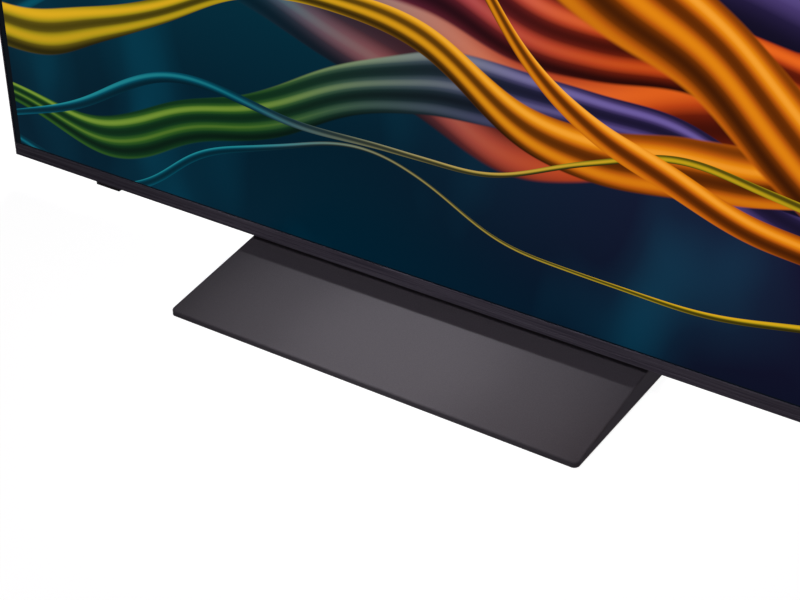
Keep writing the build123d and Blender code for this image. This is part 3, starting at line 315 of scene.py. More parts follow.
def silk(tree, x, z, behind, ribbon):
    """Colour of the picture with one ribbon of lit silk laid over what is behind it."""
    turn = add(tree, "ShaderNodeMath", {"operation": "MULTIPLY_ADD"},
               {0: x, 1: ribbon.pitch, 2: ribbon.phase})
    wave = add(tree, "ShaderNodeMath", {"operation": "SINE"}, {0: turn})
    slant = add(tree, "ShaderNodeMath", {"operation": "MULTIPLY_ADD"},
                {0: x, 1: ribbon.lean, 2: ribbon.level})
    centre = add(tree, "ShaderNodeMath", {"operation": "MULTIPLY_ADD"},
                 {0: wave, 1: ribbon.swing, 2: slant})
    turn = add(tree, "ShaderNodeMath", {"operation": "MULTIPLY_ADD"},
               {0: x, 1: ribbon.pitch * SWELL_PITCH_SHARE, 2: ribbon.phase * SWELL_PHASE_SHARE})
    swell = add(tree, "ShaderNodeMath", {"operation": "SINE"}, {0: turn})
    half = add(tree, "ShaderNodeMath", {"operation": "MULTIPLY_ADD"},
               {0: swell, 1: ribbon.half_width * SWELL_SHARE, 2: ribbon.half_width})
    above = add(tree, "ShaderNodeMath", {"operation": "SUBTRACT"}, {0: z, 1: centre})
    across = add(tree, "ShaderNodeMath", {"operation": "DIVIDE"}, {0: above, 1: half})
    drift = add(tree, "ShaderNodeMath", {"operation": "MULTIPLY_ADD"},
                {0: x, 1: ribbon.pitch * FOLD_PITCH_SHARE, 2: ribbon.phase})
    turn = add(tree, "ShaderNodeMath", {"operation": "MULTIPLY_ADD"},
               {0: across, 1: ribbon.folds, 2: drift})
    fold = add(tree, "ShaderNodeMath", {"operation": "SINE"}, {0: turn})
    lit = add(tree, "ShaderNodeMath", {"operation": "MULTIPLY_ADD"},
              {0: fold, 1: FOLD_LIGHT, 2: SILK_LIGHT})
    light = add(tree, "ShaderNodeMath", {"operation": "MULTIPLY_ADD", "use_clamp": True},
                {0: across, 1: SLOPE_LIGHT, 2: lit})
    along = add(tree, "ShaderNodeMapRange", {"interpolation_type": "SMOOTHSTEP"},
                {"Value": x, "From Min": SHADES_TURN[0], "From Max": SHADES_TURN[1]})
    left = add(tree, "ShaderNodeValToRGB", inputs={"Fac": light}, stops=ribbon.left)
    right = add(tree, "ShaderNodeValToRGB", inputs={"Fac": light}, stops=ribbon.right)
    shade = add(tree, "ShaderNodeMix", {"data_type": "RGBA"}, {0: along, 6: left, 7: right})
    off = add(tree, "ShaderNodeMath", {"operation": "ABSOLUTE"}, {0: across})
    within = add(tree, "ShaderNodeMath", {"operation": "SUBTRACT"}, {0: 1.0, 1: off})
    mask = add(tree, "ShaderNodeMapRange", {"interpolation_type": "SMOOTHSTEP"},
               {"Value": within, "From Min": 0.0, "From Max": SOFT_EDGE_SHARE})
    laid = add(tree, "ShaderNodeMix", {"data_type": "RGBA"}, {0: mask, 6: behind, 7: shade.outputs[2]})
    return laid.outputs[2]


def picture_colour(finish):
    """Colour of the design: a ground with haze, and ribbons over it, all drawn on a warped place."""
    tree = finish.tree
    warp = finish.grain(WARP_SPACING, detail=1.0).outputs["Color"]
    shift = add(tree, "ShaderNodeVectorMath", {"operation": "MULTIPLY_ADD"},
                {0: warp, 1: WARP_REACH, 2: WARP_SHIFT})
    moved = add(tree, "ShaderNodeVectorMath", {"operation": "ADD"}, {0: finish.place(), 1: shift})
    axes = add(tree, "ShaderNodeSeparateXYZ", inputs={"Vector": moved})
    x, z = axes.outputs["X"], axes.outputs["Z"]
    height = add(tree, "ShaderNodeMapRange",
                 inputs={"Value": z, "From Min": FILM_LOW.z, "From Max": FILM_HIGH.z})
    across = add(tree, "ShaderNodeMapRange", {"interpolation_type": "SMOOTHSTEP"},
                 {"Value": x, "From Min": GROUND_TURN[0], "From Max": GROUND_TURN[1]})
    teal = add(tree, "ShaderNodeValToRGB", inputs={"Fac": height}, stops=TEAL_GROUND)
    navy = add(tree, "ShaderNodeValToRGB", inputs={"Fac": height}, stops=NAVY_GROUND)
    ground = add(tree, "ShaderNodeMix", {"data_type": "RGBA"}, {0: across, 6: teal, 7: navy})
    wisps = finish.grain(HAZE_SPACING, HAZE_STRETCH, detail=1.5)
    haze = add(tree, "ShaderNodeValToRGB", inputs={"Fac": wisps}, stops=HAZE)
    hazy = add(tree, "ShaderNodeMix", {"data_type": "RGBA", "blend_type": "ADD"},
               {0: HAZE_STRENGTH, 6: ground.outputs[2], 7: haze})
    colour = hazy.outputs[2]
    for ribbon in RIBBONS:
        colour = silk(tree, x, z, colour, ribbon)
    return colour


def lit_picture(sizes):
    """Coated plastic film over the lit picture: no mirror image, and a near-black margin round the design
    that is unlit, yet glows a faint dark teal as a painted reflection.

    The coat's grain is about 0.05 mm wide, and is drawn 0.6 mm wide so that it shows.
    """
    finish = Finish("anti_glare_film_with_picture", "000101", 0.32, Specular_IOR_Level=0.01)
    tree = finish.tree
    axes = add(tree, "ShaderNodeSeparateXYZ", inputs={"Vector": finish.place()})
    middle = (sizes.picture_low + sizes.picture_high) / 2
    half_height = (sizes.picture_high - sizes.picture_low) / 2
    level = add(tree, "ShaderNodeMath", {"operation": "SUBTRACT"}, {0: axes.outputs["Z"], 1: middle})
    off_x = add(tree, "ShaderNodeMath", {"operation": "ABSOLUTE"}, {0: axes.outputs["X"]})
    off_z = add(tree, "ShaderNodeMath", {"operation": "ABSOLUTE"}, {0: level})
    within_x = add(tree, "ShaderNodeMath", {"operation": "LESS_THAN"}, {0: off_x, 1: sizes.picture_width / 2})
    within_z = add(tree, "ShaderNodeMath", {"operation": "LESS_THAN"}, {0: off_z, 1: half_height})
    inside = add(tree, "ShaderNodeMath", {"operation": "MULTIPLY"}, {0: within_x, 1: within_z})
    # Outside the design the film glows with the margin's faint dark teal, a painted reflection.
    shown = add(tree, "ShaderNodeMix", {"data_type": "RGBA"},
                {0: inside, 6: linear(MARGIN_PAINTED_GLOW), 7: picture_colour(finish)})
    tree.links.new(shown.outputs[2], finish.shader.inputs["Emission Color"])
    finish.shader.inputs["Emission Strength"].default_value = 1.0
    finish.relief(finish.grain(0.6 * MM), 0.004 * MM, 0.3)
    return finish.material


def paint(material, *nodes):
    """Give CAD nodes a material through their slots."""
    for name in nodes:
        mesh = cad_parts[name].data
        mesh.materials.clear()
        mesh.materials.append(material)


def piece(name, mesh_maker, material, smooth_degrees=35):
    """New object from a bmesh in the row's frame."""
    mesh = bpy.data.meshes.new(name)
    mesh_maker.normal_update()
    mesh_maker.to_mesh(mesh)
    mesh_maker.free()
    mesh.materials.append(material)
    mesh.set_sharp_from_angle(angle=math.radians(smooth_degrees))
    made = bpy.data.objects.new(name, mesh)
    bpy.context.scene.collection.objects.link(made)
    return made


def drawn_strip(outline, x0, x1):
    """Closed section in (y, z) drawn along the width."""
    strip = bmesh.new()
    ends = [[strip.verts.new((x, y, z)) for y, z in outline] for x in (x0, x1)]
    strip.faces.new(ends[0])
    strip.faces.new(reversed(ends[1]))
    for i in range(len(outline)):
        j = (i + 1) % len(outline)
        strip.faces.new((ends[0][i], ends[1][i], ends[1][j], ends[0][j]))
    bmesh.ops.recalc_face_normals(strip, faces=strip.faces)
    return strip


WELD = 0.002 * MM


def solids(node):
    """Low and high corner of each separate solid of a CAD node; closer points than the weld are one."""
    mesh = bmesh.new()
    mesh.from_mesh(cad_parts[node].data)
    bmesh.ops.remove_doubles(mesh, verts=mesh.verts, dist=WELD)
    mesh.verts.ensure_lookup_table()
    seen = set()
    boxes = []
    for start in mesh.verts:
        if start.index in seen:
            continue
        seen.add(start.index)
        queue = [start]
        low, high = start.co.copy(), start.co.copy()
        while queue:
            vert = queue.pop()
            for axis in range(3):
                low[axis] = min(low[axis], vert.co[axis])
                high[axis] = max(high[axis], vert.co[axis])
            for edge in vert.link_edges:
                other = edge.other_vert(vert)
                if other.index not in seen:
                    seen.add(other.index)
                    queue.append(other)
        boxes.append((low, high))
    mesh.free()
    return boxes


def turned(mesh, profile, place, axis, steps=24):
    """Rings of (radius, distance) turned about an axis that leaves a place; closed at both ends."""
    side = Vector((1, 0, 0)) if abs(axis.x) < 0.5 else Vector((0, 1, 0))
    across = axis.cross(side).normalized()
    side = across.cross(axis).normalized()
    rings = []
    for radius, distance in profile:
        ring = []
        for i in range(steps):
            angle = 2 * math.pi * i / steps
            offset = side * math.cos(angle) * radius + across * math.sin(angle) * radius
            ring.append(mesh.verts.new(place + axis * distance + offset))
        rings.append(ring)
    for one, two in zip(rings, rings[1:]):
        for i in range(steps):
            j = (i + 1) % steps
            mesh.faces.new((one[i], one[j], two[j], two[i]))
    return rings


CROSS_WIDTH_SHARE = 0.3
CROSS_FOOT_SHARE = 0.6


def cross_recess(mesh, rim, place, axis, reach, depth):
    """Cross-shaped driver recess sunk into the flat inside a ring."""
    side = (rim[0].co - place).normalized()
    across = axis.cross(side)
    width = reach * CROSS_WIDTH_SHARE
    corners = []
    for turn in range(4):
        forward = (side, across, -side, -across)[turn]
        left = (across, -side, -across, side)[turn]
        corners += [forward * reach - left * width, forward * reach + left * width,
                    forward * width + left * width]
    top = [mesh.verts.new(place + corner) for corner in corners]
    foot = [mesh.verts.new(place + corner * CROSS_FOOT_SHARE - axis * depth) for corner in corners]
    count = len(corners)
    edges = [mesh.edges.new((top[i], top[(i + 1) % count])) for i in range(count)]
    for i in range(count):
        j = (i + 1) % count
        mesh.faces.new((top[i], top[j], foot[j], foot[i]))
    mesh.faces.new(foot)
    around = [mesh.edges.get((rim[i], rim[(i + 1) % len(rim)])) for i in range(len(rim))]
    bmesh.ops.triangle_fill(mesh, use_beauty=True, use_dissolve=False, edges=edges + around)


# A screw's outline: its tip as (share of the shank's radius, share of that radius from the end), and
# its pan head as (share of the head's radius, share of the head's height from the crown).
SHANK_SHARE = 0.5
TIP_SHARES = [(0.02, 0.0), (0.6, 0.0), (1.0, 1.0)]
HEAD_SHARES = [(1.0, 1.0), (1.0, 0.45), (0.9, 0.16), (0.72, 0.0)]
RECESS_REACH_SHARE = 0.5
RECESS_DEPTH_SHARE = 0.7


def screws(node, axis, head_share, material):
    """Pan-head screws with a cross recess in the places of a node's screws; axis points out of the head."""
    mesh = bmesh.new()
    along = max(range(3), key=lambda i: abs(axis[i]))
    for low, high in solids(node):
        radius = (high.x - low.x) / 2
        middle = (low + high) / 2
        out = high[along] if axis[along] > 0 else low[along]
        length = high[along] - low[along]
        crown = middle.copy()
        crown[along] = out
        head = radius * head_share
        shank = radius * SHANK_SHARE
        profile = [(across * shank, up * shank - length) for across, up in TIP_SHARES]
        profile += [(shank, -head)]
        profile += [(across * radius, -below * head) for across, below in HEAD_SHARES]
        rings = turned(mesh, profile, crown, axis)
        mesh.faces.new(rings[0])
        cross_recess(mesh, rings[-1], crown, axis, radius * RECESS_REACH_SHARE, head * RECESS_DEPTH_SHARE)
    bmesh.ops.recalc_face_normals(mesh, faces=mesh.faces)
    made = piece(node + "_recessed", mesh, material, smooth_degrees=40)
    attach(made, "set")
    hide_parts(node)
    return made


PLATE_BEVEL_SHARE = 0.25


def plates(name, boxes, material):
    """Thin plates with bevelled edges, one for each (low, high) box."""
    mesh = bmesh.new()
    for low, high in boxes:
        made = bmesh.ops.create_cube(mesh, size=1.0)
        span = high - low
        for vert in made["verts"]:
            vert.co = Vector((low[i] + (vert.co[i] + 0.5) * span[i] for i in range(3)))
        edges = {edge for vert in made["verts"] for edge in vert.link_edges}
        bmesh.ops.bevel(mesh, geom=list(edges), offset=min(span) * PLATE_BEVEL_SHARE, segments=1,
                        affect="EDGES")
    bmesh.ops.recalc_face_normals(mesh, faces=mesh.faces)
    made = piece(name, mesh, material, smooth_degrees=30)
    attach(made, "set")
    return made


# A pin's domed tip, as shares of its radius: out from its axis and down from its end.
DOME_SHARES = [(1.0, 1.0), (0.87, 0.5), (0.5, 0.13), (0.1, 0.0)]


def pins(name, feet, axis, radius, length, material):
    """Round pins with domed tips that leave their feet along an axis."""
    mesh = bmesh.new()
    profile = [(radius, 0.0), *((out * radius, length - down * radius) for out, down in DOME_SHARES)]
    for foot in feet:
        rings = turned(mesh, profile, foot, axis, steps=20)
        mesh.faces.new(rings[0])
        mesh.faces.new(rings[-1])
    bmesh.ops.recalc_face_normals(mesh, faces=mesh.faces)
    made = piece(name, mesh, material, smooth_degrees=50)
    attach(made, "set")
    return made


# Contacts on a socket's tongue: how deep they sit in it and stand out of it, and how long, wide and
# spread they are.
CONTACT_SEAT = 0.05 * MM
CONTACT_RISE = 0.15 * MM
CONTACT_SETBACK = 2 * MM
CONTACT_END_SHARE = 0.3
CONTACT_SPREAD_SHARE = 0.6
CONTACT_HALF_SHARE = 0.28


def contact_rows(node, count, tongue, shell, sides):
    """Boxes of the sprung contacts on the tongues of a node's sockets.

    A tongue's thickness, its shell's height and the sides of the tongue with contacts are given.
    """
    rows = []
    for low, high in solids(node):
        middle = low.y + shell / 2
        pitch = (high.z - low.z) * CONTACT_SPREAD_SHARE / count
        for side in sides:
            face = middle + side * tongue / 2
            y0, y1 = sorted((face - side * CONTACT_SEAT, face + side * CONTACT_RISE))
            for i in range(count):
                z = (low.z + high.z) / 2 + (i - (count - 1) / 2) * pitch
                rows.append((Vector((low.x + CONTACT_SETBACK, y0, z - pitch * CONTACT_HALF_SHARE)),
                             Vector((high.x - CONTACT_END_SHARE * (high.x - low.x), y1,
                                     z + pitch * CONTACT_HALF_SHARE))))
    return rows


STRIP_WALL = 0.8 * MM
STRIP_LIP = 1.2 * MM
ROLL_STEPS = 4
GROOVE_FLOOR_SHARES = (0.45, 0.55)


def bezel_strip(sizes, material):
    """The lower strip: rolled lower edge, a machined groove along it and a chamfer against the glass."""
    front, rear = BEZEL_LOW.y, BEZEL_HIGH.y
    low, high = BEZEL_LOW.z, BEZEL_HIGH.z
    roll = sizes.bezel_roll
    groove_foot = low + sizes.groove_height
    groove_head = groove_foot + sizes.groove_width
    sunk = front + sizes.groove_depth
    wall = front + STRIP_WALL
    lip = low + STRIP_LIP
    turns = [math.pi / 2 * i / ROLL_STEPS for i in range(ROLL_STEPS + 1)]
    rolled = [(front + roll * (1 - math.sin(a)), low + roll * (1 - math.cos(a))) for a in turns]
    outline = [(rear, low), *rolled, (front, groove_foot)]
    outline += [(sunk, groove_foot + sizes.groove_width * share) for share in GROOVE_FLOOR_SHARES]
    outline += [(front, groove_head), (front, high - sizes.top_chamfer), (front + sizes.top_chamfer, high)]
    outline += [(wall, high), (wall, lip), (rear, lip)]
    strip = drawn_strip(outline, BEZEL_LOW.x, BEZEL_HIGH.x)
    return piece("bezel_strip", strip, material, smooth_degrees=20)


class TelevisionSizes(bpy.types.PropertyGroup):
    """Sizes of what is drawn on the television."""

    picture_width: bpy.props.FloatProperty(
        name="Picture width", description="Width of the lit picture", default=1.2096, unit="LENGTH")
    picture_low: bpy.props.FloatProperty(
        name="Picture foot", description="Height of the picture's lower edge",
        default=BEZEL_HIGH.z + 1.6 * MM, unit="LENGTH")
    picture_high: bpy.props.FloatProperty(
        name="Picture head", description="Height of the picture's upper edge",
        default=BEZEL_HIGH.z + 683.4 * MM, unit="LENGTH")
    bezel_roll: bpy.props.FloatProperty(
        name="Bezel roll", description="Radius of the strip's lower edge", default=0.5 * MM, unit="LENGTH")
    groove_height: bpy.props.FloatProperty(
        name="Groove height", description="Foot of the groove above the strip's lower edge",
        default=6.0 * MM, unit="LENGTH")
    groove_width: bpy.props.FloatProperty(
        name="Groove width", description="Height of the groove along the strip",
        default=1.6 * MM, unit="LENGTH")
    groove_depth: bpy.props.FloatProperty(
        name="Groove depth", description="Depth of the groove along the strip",
        default=0.5 * MM, unit="LENGTH")
    top_chamfer: bpy.props.FloatProperty(
        name="Top chamfer", description="Chamfer where the strip meets the glass",
        default=0.7 * MM, unit="LENGTH")


class TelevisionColours(bpy.types.PropertyGroup):
    """Colours, as sRGB hex values."""

    plate: bpy.props.StringProperty(
        name="Base", description="Colour of the stand's base", default="5a575c")
    plate_flake: bpy.props.StringProperty(
        name="Base flake", description="Lighter colour of the metallic flakes in the base", default="605d62")
    bezel: bpy.props.StringProperty(
        name="Bezel", description="Colour of the lower strip", default="5a5662")
    bezel_streak: bpy.props.StringProperty(
        name="Bezel streak", description="Lighter colour of the strip's hairlines", default="7d7984")
    case: bpy.props.StringProperty(
        name="Case", description="Colour of the back cover", default="242326")
    case_cloud: bpy.props.StringProperty(
        name="Case cloud", description="Lighter colour of the back cover", default="2a292c")


class StagedOperator:
    """What the operators share."""

    bl_options = {"REGISTER", "UNDO"}

    def sizes(self):
        """The television's sizes."""
        return bpy.context.scene.television_sizes

    def colours(self):
        """The television's colours."""
        return bpy.context.scene.television_colours


# Head heights of the screws, as shares of their radii.
STAND_HEAD_SHARE = 0.6
BASE_HEAD_SHARE = 0.45
COVER_HEAD_SHARE = 0.57


class TELEVISION_OT_stand(StagedOperator, bpy.types.Operator):
    """Finish the base, its steel plate, feet, neck and sleeve"""

    bl_idname = "television.stand"
    bl_label = "Stand"

    def execute(self, context):
        paint(satin_painted_plate(self.colours()), "stand_base_cover")
        steel = metal("electrocoated_steel", "0f0f10", "161617", 0.5, 6 * MM, 0.0)
        paint(steel, "stand_base_plate", "stand_neck", "stand_screws", "base_screws")
        bolts = metal("blackened_stand_bolts", "19191a", "242426", 0.35)
        screws("stand_screws", Vector((0, 1, 0)), STAND_HEAD_SHARE, bolts)
        screws("base_screws", Vector((0, 0, -1)), BASE_HEAD_SHARE, bolts)
        paint(rubber("moulded_rubber", "0d0d0d"), "stand_feet", "speaker_pads")
        paint(moulded_plastic("grained_abs_sleeve", "1f1e21", "252428", 0.55), "neck_sleeve")
        return {"FINISHED"}


class TELEVISION_OT_frames(StagedOperator, bpy.types.Operator):
    """Finish the bezel strip and the slim frames round the glass"""

    bl_idname = "television.frames"
    bl_label = "Frames"

    def execute(self, context):
        colours = self.colours()
        tones = (colours.bezel, colours.bezel_streak)
        lengthwise = hairline_aluminium("hairline_aluminium_strip", *tones, 0)
        paint(lengthwise, "bottom_bezel", "top_frame")
        paint(hairline_aluminium("hairline_aluminium_sides", *tones, 2), "left_frame", "right_frame")
        strip = bezel_strip(self.sizes(), lengthwise)
        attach(strip, "set")
        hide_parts("bottom_bezel")
        return {"FINISHED"}


class TELEVISION_OT_screen(StagedOperator, bpy.types.Operator):
    """Finish the glass and light the picture"""

    bl_idname = "television.screen"
    bl_label = "Screen"

    def execute(self, context):
        paint(lit_picture(self.sizes()), "front_film")
        paint(glossy_black("black_margin_glass", "030405", 0.12), "lcd_glass", "rear_film")
        return {"FINISHED"}


class TELEVISION_OT_case(StagedOperator, bpy.types.Operator):
    """Finish the back cover and what is fixed to it"""

    bl_idname = "television.case"
    bl_label = "Case"

    def execute(self, context):
        colours = self.colours()
        case = moulded_plastic("grained_abs_case", colours.case, colours.case_cloud, 0.6, 1.1 * MM, 0.05 * MM)
        paint(case, "back_cover")
        paint(moulded_plastic("smooth_abs_holder", "1b1a1c", "222124", 0.45), "cable_holder", "cable_gate")
        blackened = metal("blackened_screw_steel", "19191a", "242426", 0.35)
        paint(blackened, "cover_screws", "cable_gate_pin", "chassis_screws")
        screws("cover_screws", Vector((0, 1, 0)), COVER_HEAD_SHARE, blackened)
        paint(metal("zinc_plated_spacer", "9c9c98", "b5b5b2", 0.3), "wall_mount_spacers")
        return {"FINISHED"}


# Contacts, tongues and shells of the sockets, and the pins of the power inlet and the aerial sockets.
VIDEO_CONTACTS = 9
VIDEO_TONGUE = 1.0 * MM
VIDEO_SHELL = 5.6 * MM
DATA_CONTACTS = 4
DATA_TONGUE = 1.8 * MM
DATA_SHELL = 6.0 * MM
NETWORK_CONTACTS = 8
NETWORK_PITCH = 1.02 * MM
NETWORK_WIRE = 0.4 * MM
NETWORK_DEPTH = 2.1 * MM
NETWORK_SETBACK = 6 * MM
INLET_PIN_RADIUS = 1.25 * MM
INLET_PIN_SIDE = 4.3 * MM
INLET_FLOOR = 3.2 * MM
INLET_PIN_SETBACK = 2 * MM
AERIAL_PIN_RADIUS = 0.6 * MM
AERIAL_PIN_LENGTH = 11 * MM
AERIAL_PIN_DEPTH = 14 * MM


class TELEVISION_OT_sockets(StagedOperator, bpy.types.Operator):
    """Finish the sockets and their panel"""

    bl_idname = "television.sockets"
    bl_label = "Sockets"

    def execute(self, context):
        paint(metal("nickel_plated_shell", "9d9b95", "bcbab4", 0.28), "video_sockets", "data_sockets",
              "aerial_sockets")
        gold = metal("gold_flashed_contact", "b8862b", "d9a944", 0.25)
        rows = contact_rows("video_sockets", VIDEO_CONTACTS, VIDEO_TONGUE, VIDEO_SHELL, (-1, 1))
        rows += contact_rows("data_sockets", DATA_CONTACTS, DATA_TONGUE, DATA_SHELL, (1,))
        low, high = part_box("network_socket")
        near = high.y - NETWORK_DEPTH
        for i in range(NETWORK_CONTACTS):
            z = (low.z + high.z) / 2 + (i - (NETWORK_CONTACTS - 1) / 2) * NETWORK_PITCH
            rows.append((Vector((low.x + CONTACT_SETBACK, near, z - NETWORK_WIRE / 2)),
                         Vector((high.x - NETWORK_SETBACK, near + NETWORK_WIRE, z + NETWORK_WIRE / 2))))
        plates("socket_contacts", rows, gold)

        low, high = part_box("power_inlet")
        middle = (low + high) / 2
        feet = [Vector((high.x - INLET_FLOOR, middle.y, middle.z + side * INLET_PIN_SIDE))
                for side in (-1, 1)]
        length = high.x - low.x - INLET_FLOOR - INLET_PIN_SETBACK
        nickel = metal("nickel_plated_pin", "b3b0a8", "cfccc4", 0.22)
        pins("inlet_pins", feet, Vector((-1, 0, 0)), INLET_PIN_RADIUS, length, nickel)
        feet = [Vector((high.x - AERIAL_PIN_DEPTH, (low.y + high.y) / 2, (low.z + high.z) / 2))
                for low, high in solids("aerial_sockets")]
        pins("aerial_contacts", feet, Vector((1, 0, 0)), AERIAL_PIN_RADIUS, AERIAL_PIN_LENGTH, gold)
        nylon = moulded_plastic("moulded_nylon_socket", "131314", "1a1a1b", 0.4, 0.6 * MM, 0.01 * MM)
        paint(nylon, "network_socket", "optical_socket", "power_inlet")
        paint(moulded_plastic("moulded_panel", "1b1b1c", "202022", 0.5), "jack_panel", "middle_frame",
              "speaker_boxes")
        return {"FINISHED"}


class TELEVISION_OT_module(StagedOperator, bpy.types.Operator):
    """Finish the sensor and button module under the bezel"""

    bl_idname = "television.module"
    bl_label = "Sensor module"

    def execute(self, context):
        paint(glossy_black("gloss_black_module", "070708", 0.16), "sensor_housing", "power_button")
        paint(glossy_black("infrared_window", "120507", 0.05), "sensor_window")
        return {"FINISHED"}


class TELEVISION_OT_inside(StagedOperator, bpy.types.Operator):
    """Finish the pieces behind the covers"""

    bl_idname = "television.inside"
    bl_label = "Inside"

    def execute(self, context):
        paint(metal("galvanised_sheet", "8f9294", "a8abad", 0.4, 9 * MM), "rear_chassis", "stand_bracket",
              "board_standoffs")
        paint(moulded_plastic("milky_polystyrene", "dcdedf", "e6e8e9", 0.5, 2 * MM, 0.01 * MM),
              "optical_sheets", "diffuser_plate", "diffuser_posts")
        paint(moulded_plastic("foamed_reflector_film", "e8eaeb", "f0f1f2", 0.6, 1.2 * MM, 0.02 * MM),
              "reflector_sheet", "light_bars")
        paint(clear_lens(), "light_bar_lenses")
        paint(ribbon_film(), "ribbon_cables")
        paint(circuit_board("green_solder_mask", "0d3a22", "1a5a36"), "main_board", "timing_board",
              "wireless_board", "source_boards", "sensor_board")
        paint(circuit_board("tan_laminate", "7a5a2c", "94713c"), "power_board")
        paint(moulded_plastic("epoxy_chip", "171718", "1d1d1e", 0.45), "board_chips")
        paint(taped_winding(), "power_transformers")
        paint(moulded_plastic("printed_sleeve", "14161c", "1a1d26", 0.3, 2 * MM, 0.01 * MM),
              "power_capacitors")
        paint(metal("extruded_aluminium", "a0a2a4", "b6b8ba", 0.35, 2 * MM, 1.0, (1, 1, 0.1)),
              "main_heat_sink", "power_heat_sinks")
        paint(rubber("taped_wire", "111111"), "internal_wiring")
        paint(moulded_plastic("amber_film", "8a5214", "9a6020", 0.35), "panel_flexes")
        paint(metal("coated_basket", "19191a", "222223", 0.5, 3 * MM, 0.0), "speaker_drivers")
        paint(moulded_plastic("pressed_paper", "1a1a1b", "242425", 0.85, 0.5 * MM, 0.08 * MM),
              "left_speaker_cone", "right_speaker_cone")
        return {"FINISHED"}


# The photographed view: the camera's place, its heading and its lens.
CAMERA_PLACE = (0.7873, -1.2514, 0.9737)
CAMERA_HEADING = math.radians(33.117)
CAMERA_DOWN = math.radians(32.196)
CAMERA_LENS = 74.11
CAMERA_SENSOR = 36.0

# The studio: its floor and room are white to the camera. What is mirrored of them, and the room's dim
# light on the set, are faintly violet. Places and reaches are in metres.
FLOOR_REACH = 12.0
FLOOR_TONE = "9c9c9c"
FLOOR_GLOW = 0.94
MIRRORED_TONE = "f9eeff"
ROOM_TONE = "fcf4ff"
ROOM_LIGHT = 0.067
SOFTBOX_PLACE = (-0.9, 2.3, 2.3)
SOFTBOX_SIZE = 1.6
SOFTBOX_POWER = 50.0
SET_MIDDLE = (0, 0.1, 0.4)
OVERHEAD = (0.005, BEZEL_LOW.y + 0.049, 2.2)
BASE_AIM = (0.005, BASE_FRONT / 2, 0.0)
HIGH_FRONT = (0.07, -0.85, 2.3)
LOW_FRONT = (0.07, -2.35, 0.9)
BEZEL_FOOT = (0.07, BEZEL_LOW.y, BEZEL_LOW.z)

# Each spot's place and target, cone in degrees, radius in metres, power in watts and colour. The
# overhead pair is cut off by the set's top edge, which lays the dark band on the base.
SPOTS = {
    "overhead_narrow": (OVERHEAD, BASE_AIM, 8.0, 0.004, 43.0, WHITE),
    "overhead_wide": (OVERHEAD, BASE_AIM, 16.5, 0.004, 95.0, WHITE),
    "high_front_spot": (HIGH_FRONT, BEZEL_FOOT, 34.0, 0.3, 39.0, ROOM_TONE),
    "low_front_spot": (LOW_FRONT, BEZEL_FOOT, 32.0, 0.15, 10.3, ROOM_TONE),
}


def hang(name, kind, place, target, power):
    """A lamp of a kind, hung at a place and turned to a target."""
    data = bpy.data.lights.new(name, kind)
    data.energy = power
    lamp = bpy.data.objects.new(name, data)
    bpy.context.scene.collection.objects.link(lamp)
    lamp.location = place
    lamp.rotation_euler = (Vector(target) - Vector(place)).to_track_quat("-Z", "Y").to_euler()
    return data


def floor_finish():
    """Paper floor that glows white where it is seen or mirrored, and otherwise only takes the light."""
    finish = Finish("pale_studio_floor", FLOOR_TONE, 0.9)
    tree = finish.tree
    rays = add(tree, "ShaderNodeLightPath").outputs
    mirrored = add(tree, "ShaderNodeMath", {"operation": "MAXIMUM"},
                   {0: rays["Is Glossy Ray"], 1: rays["Is Transmission Ray"]})
    seen = add(tree, "ShaderNodeMath", {"operation": "MAXIMUM"}, {0: rays["Is Camera Ray"], 1: mirrored})
    tone = add(tree, "ShaderNodeMix", {"data_type": "RGBA"},
               {0: mirrored, 6: linear(WHITE), 7: linear(MIRRORED_TONE)})
    strength = add(tree, "ShaderNodeMath", {"operation": "MULTIPLY"}, {0: seen, 1: FLOOR_GLOW})
    glow = add(tree, "ShaderNodeEmission", inputs={"Color": tone.outputs[2], "Strength": strength})
    both = add(tree, "ShaderNodeAddShader", inputs={0: finish.shader, 1: glow})
    tree.links.new(both.outputs[0], tree.nodes["Material Output"].inputs["Surface"])
    return finish.material


def room():
    """White room where it is seen or mirrored, whose own light on the set is dim."""
    world = bpy.data.worlds.new("studio_world")
    world.use_nodes = True
    tree = world.node_tree
    sky = tree.nodes["Background"]
    rays = add(tree, "ShaderNodeLightPath").outputs
    mirrored = add(tree, "ShaderNodeMath", {"operation": "MAXIMUM"},
                   {0: rays["Is Glossy Ray"], 1: rays["Is Transmission Ray"]})
    seen = add(tree, "ShaderNodeMath", {"operation": "MAXIMUM"}, {0: rays["Is Camera Ray"], 1: mirrored})
    tone = add(tree, "ShaderNodeMix", {"data_type": "RGBA"},
               {0: rays["Is Camera Ray"], 6: linear(ROOM_TONE), 7: linear(WHITE)})
    light = add(tree, "ShaderNodeMapRange", inputs={"Value": seen, "To Min": ROOM_LIGHT, "To Max": 1.0})
    tree.links.new(tone.outputs[2], sky.inputs["Color"])
    tree.links.new(light.outputs["Result"], sky.inputs["Strength"])
    return world


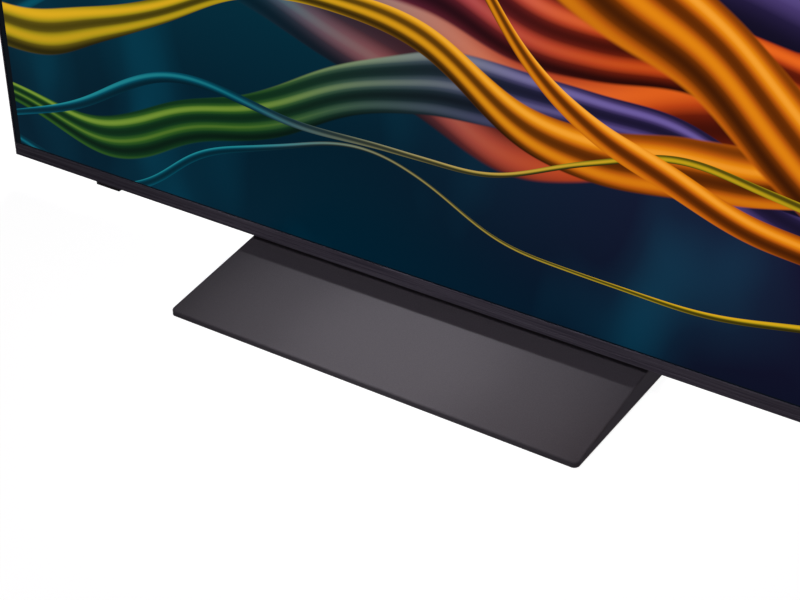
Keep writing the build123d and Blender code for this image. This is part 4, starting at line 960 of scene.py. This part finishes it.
class TELEVISION_OT_stage(StagedOperator, bpy.types.Operator):
    """Lay the pale floor, light the set and aim the camera"""

    bl_idname = "television.stage"
    bl_label = "Stage"

    def execute(self, context):
        floor_mesh = bpy.data.meshes.new("studio_floor")
        corners = [(FLOOR_REACH * i, FLOOR_REACH * j, 0) for i, j in ((-1, -1), (1, -1), (1, 1), (-1, 1))]
        floor_mesh.from_pydata(corners, [], [(0, 1, 2, 3)])
        floor_mesh.materials.append(floor_finish())
        floor = bpy.data.objects.new("studio_floor", floor_mesh)
        context.scene.collection.objects.link(floor)
        context.scene.world = room()

        hang("rear_softbox", "AREA", SOFTBOX_PLACE, SET_MIDDLE, SOFTBOX_POWER).size = SOFTBOX_SIZE
        for name, (place, target, cone, radius, power, tone) in SPOTS.items():
            spot = hang(name, "SPOT", place, target, power)
            spot.spot_size = math.radians(cone)
            spot.spot_blend = 1.0
            spot.shadow_soft_size = radius
            spot.color = linear(tone)[:3]

        data = bpy.data.cameras.new("photographed_view")
        data.lens = CAMERA_LENS
        data.sensor_width = CAMERA_SENSOR
        camera = bpy.data.objects.new("photographed_view", data)
        context.scene.collection.objects.link(camera)
        camera.location = CAMERA_PLACE
        camera.rotation_euler = (math.pi / 2 - CAMERA_DOWN, 0, CAMERA_HEADING)
        context.scene.camera = camera
        context.scene.view_settings.view_transform = "Standard"
        return {"FINISHED"}


OPERATORS = [TELEVISION_OT_stand, TELEVISION_OT_frames, TELEVISION_OT_screen, TELEVISION_OT_case,
             TELEVISION_OT_sockets, TELEVISION_OT_module, TELEVISION_OT_inside, TELEVISION_OT_stage]


class TELEVISION_PT_panel(bpy.types.Panel):
    """Lists the television's pieces"""

    bl_idname = "TELEVISION_PT_panel"
    bl_label = "Television"
    bl_space_type = "VIEW_3D"
    bl_region_type = "UI"
    bl_category = "Television"

    def draw(self, context):
        for group in (context.scene.television_sizes, context.scene.television_colours):
            for key in group.bl_rna.properties.keys():
                if key not in ("rna_type", "name"):
                    self.layout.prop(group, key)
        for operator in OPERATORS:
            self.layout.operator(operator.bl_idname)


CLASSES = [TelevisionSizes, TelevisionColours, *OPERATORS, TELEVISION_PT_panel]


def register():
    for cls in CLASSES:
        bpy.utils.register_class(cls)
    bpy.types.Scene.television_sizes = bpy.props.PointerProperty(type=TelevisionSizes)
    bpy.types.Scene.television_colours = bpy.props.PointerProperty(type=TelevisionColours)


def unregister():
    del bpy.types.Scene.television_colours
    del bpy.types.Scene.television_sizes
    for cls in reversed(CLASSES):
        bpy.utils.unregister_class(cls)


def main():
    register()
    for operator in OPERATORS:
        family, name = operator.bl_idname.split(".")
        getattr(getattr(bpy.ops, family), name)()


if __name__ == "__main__":
    main()
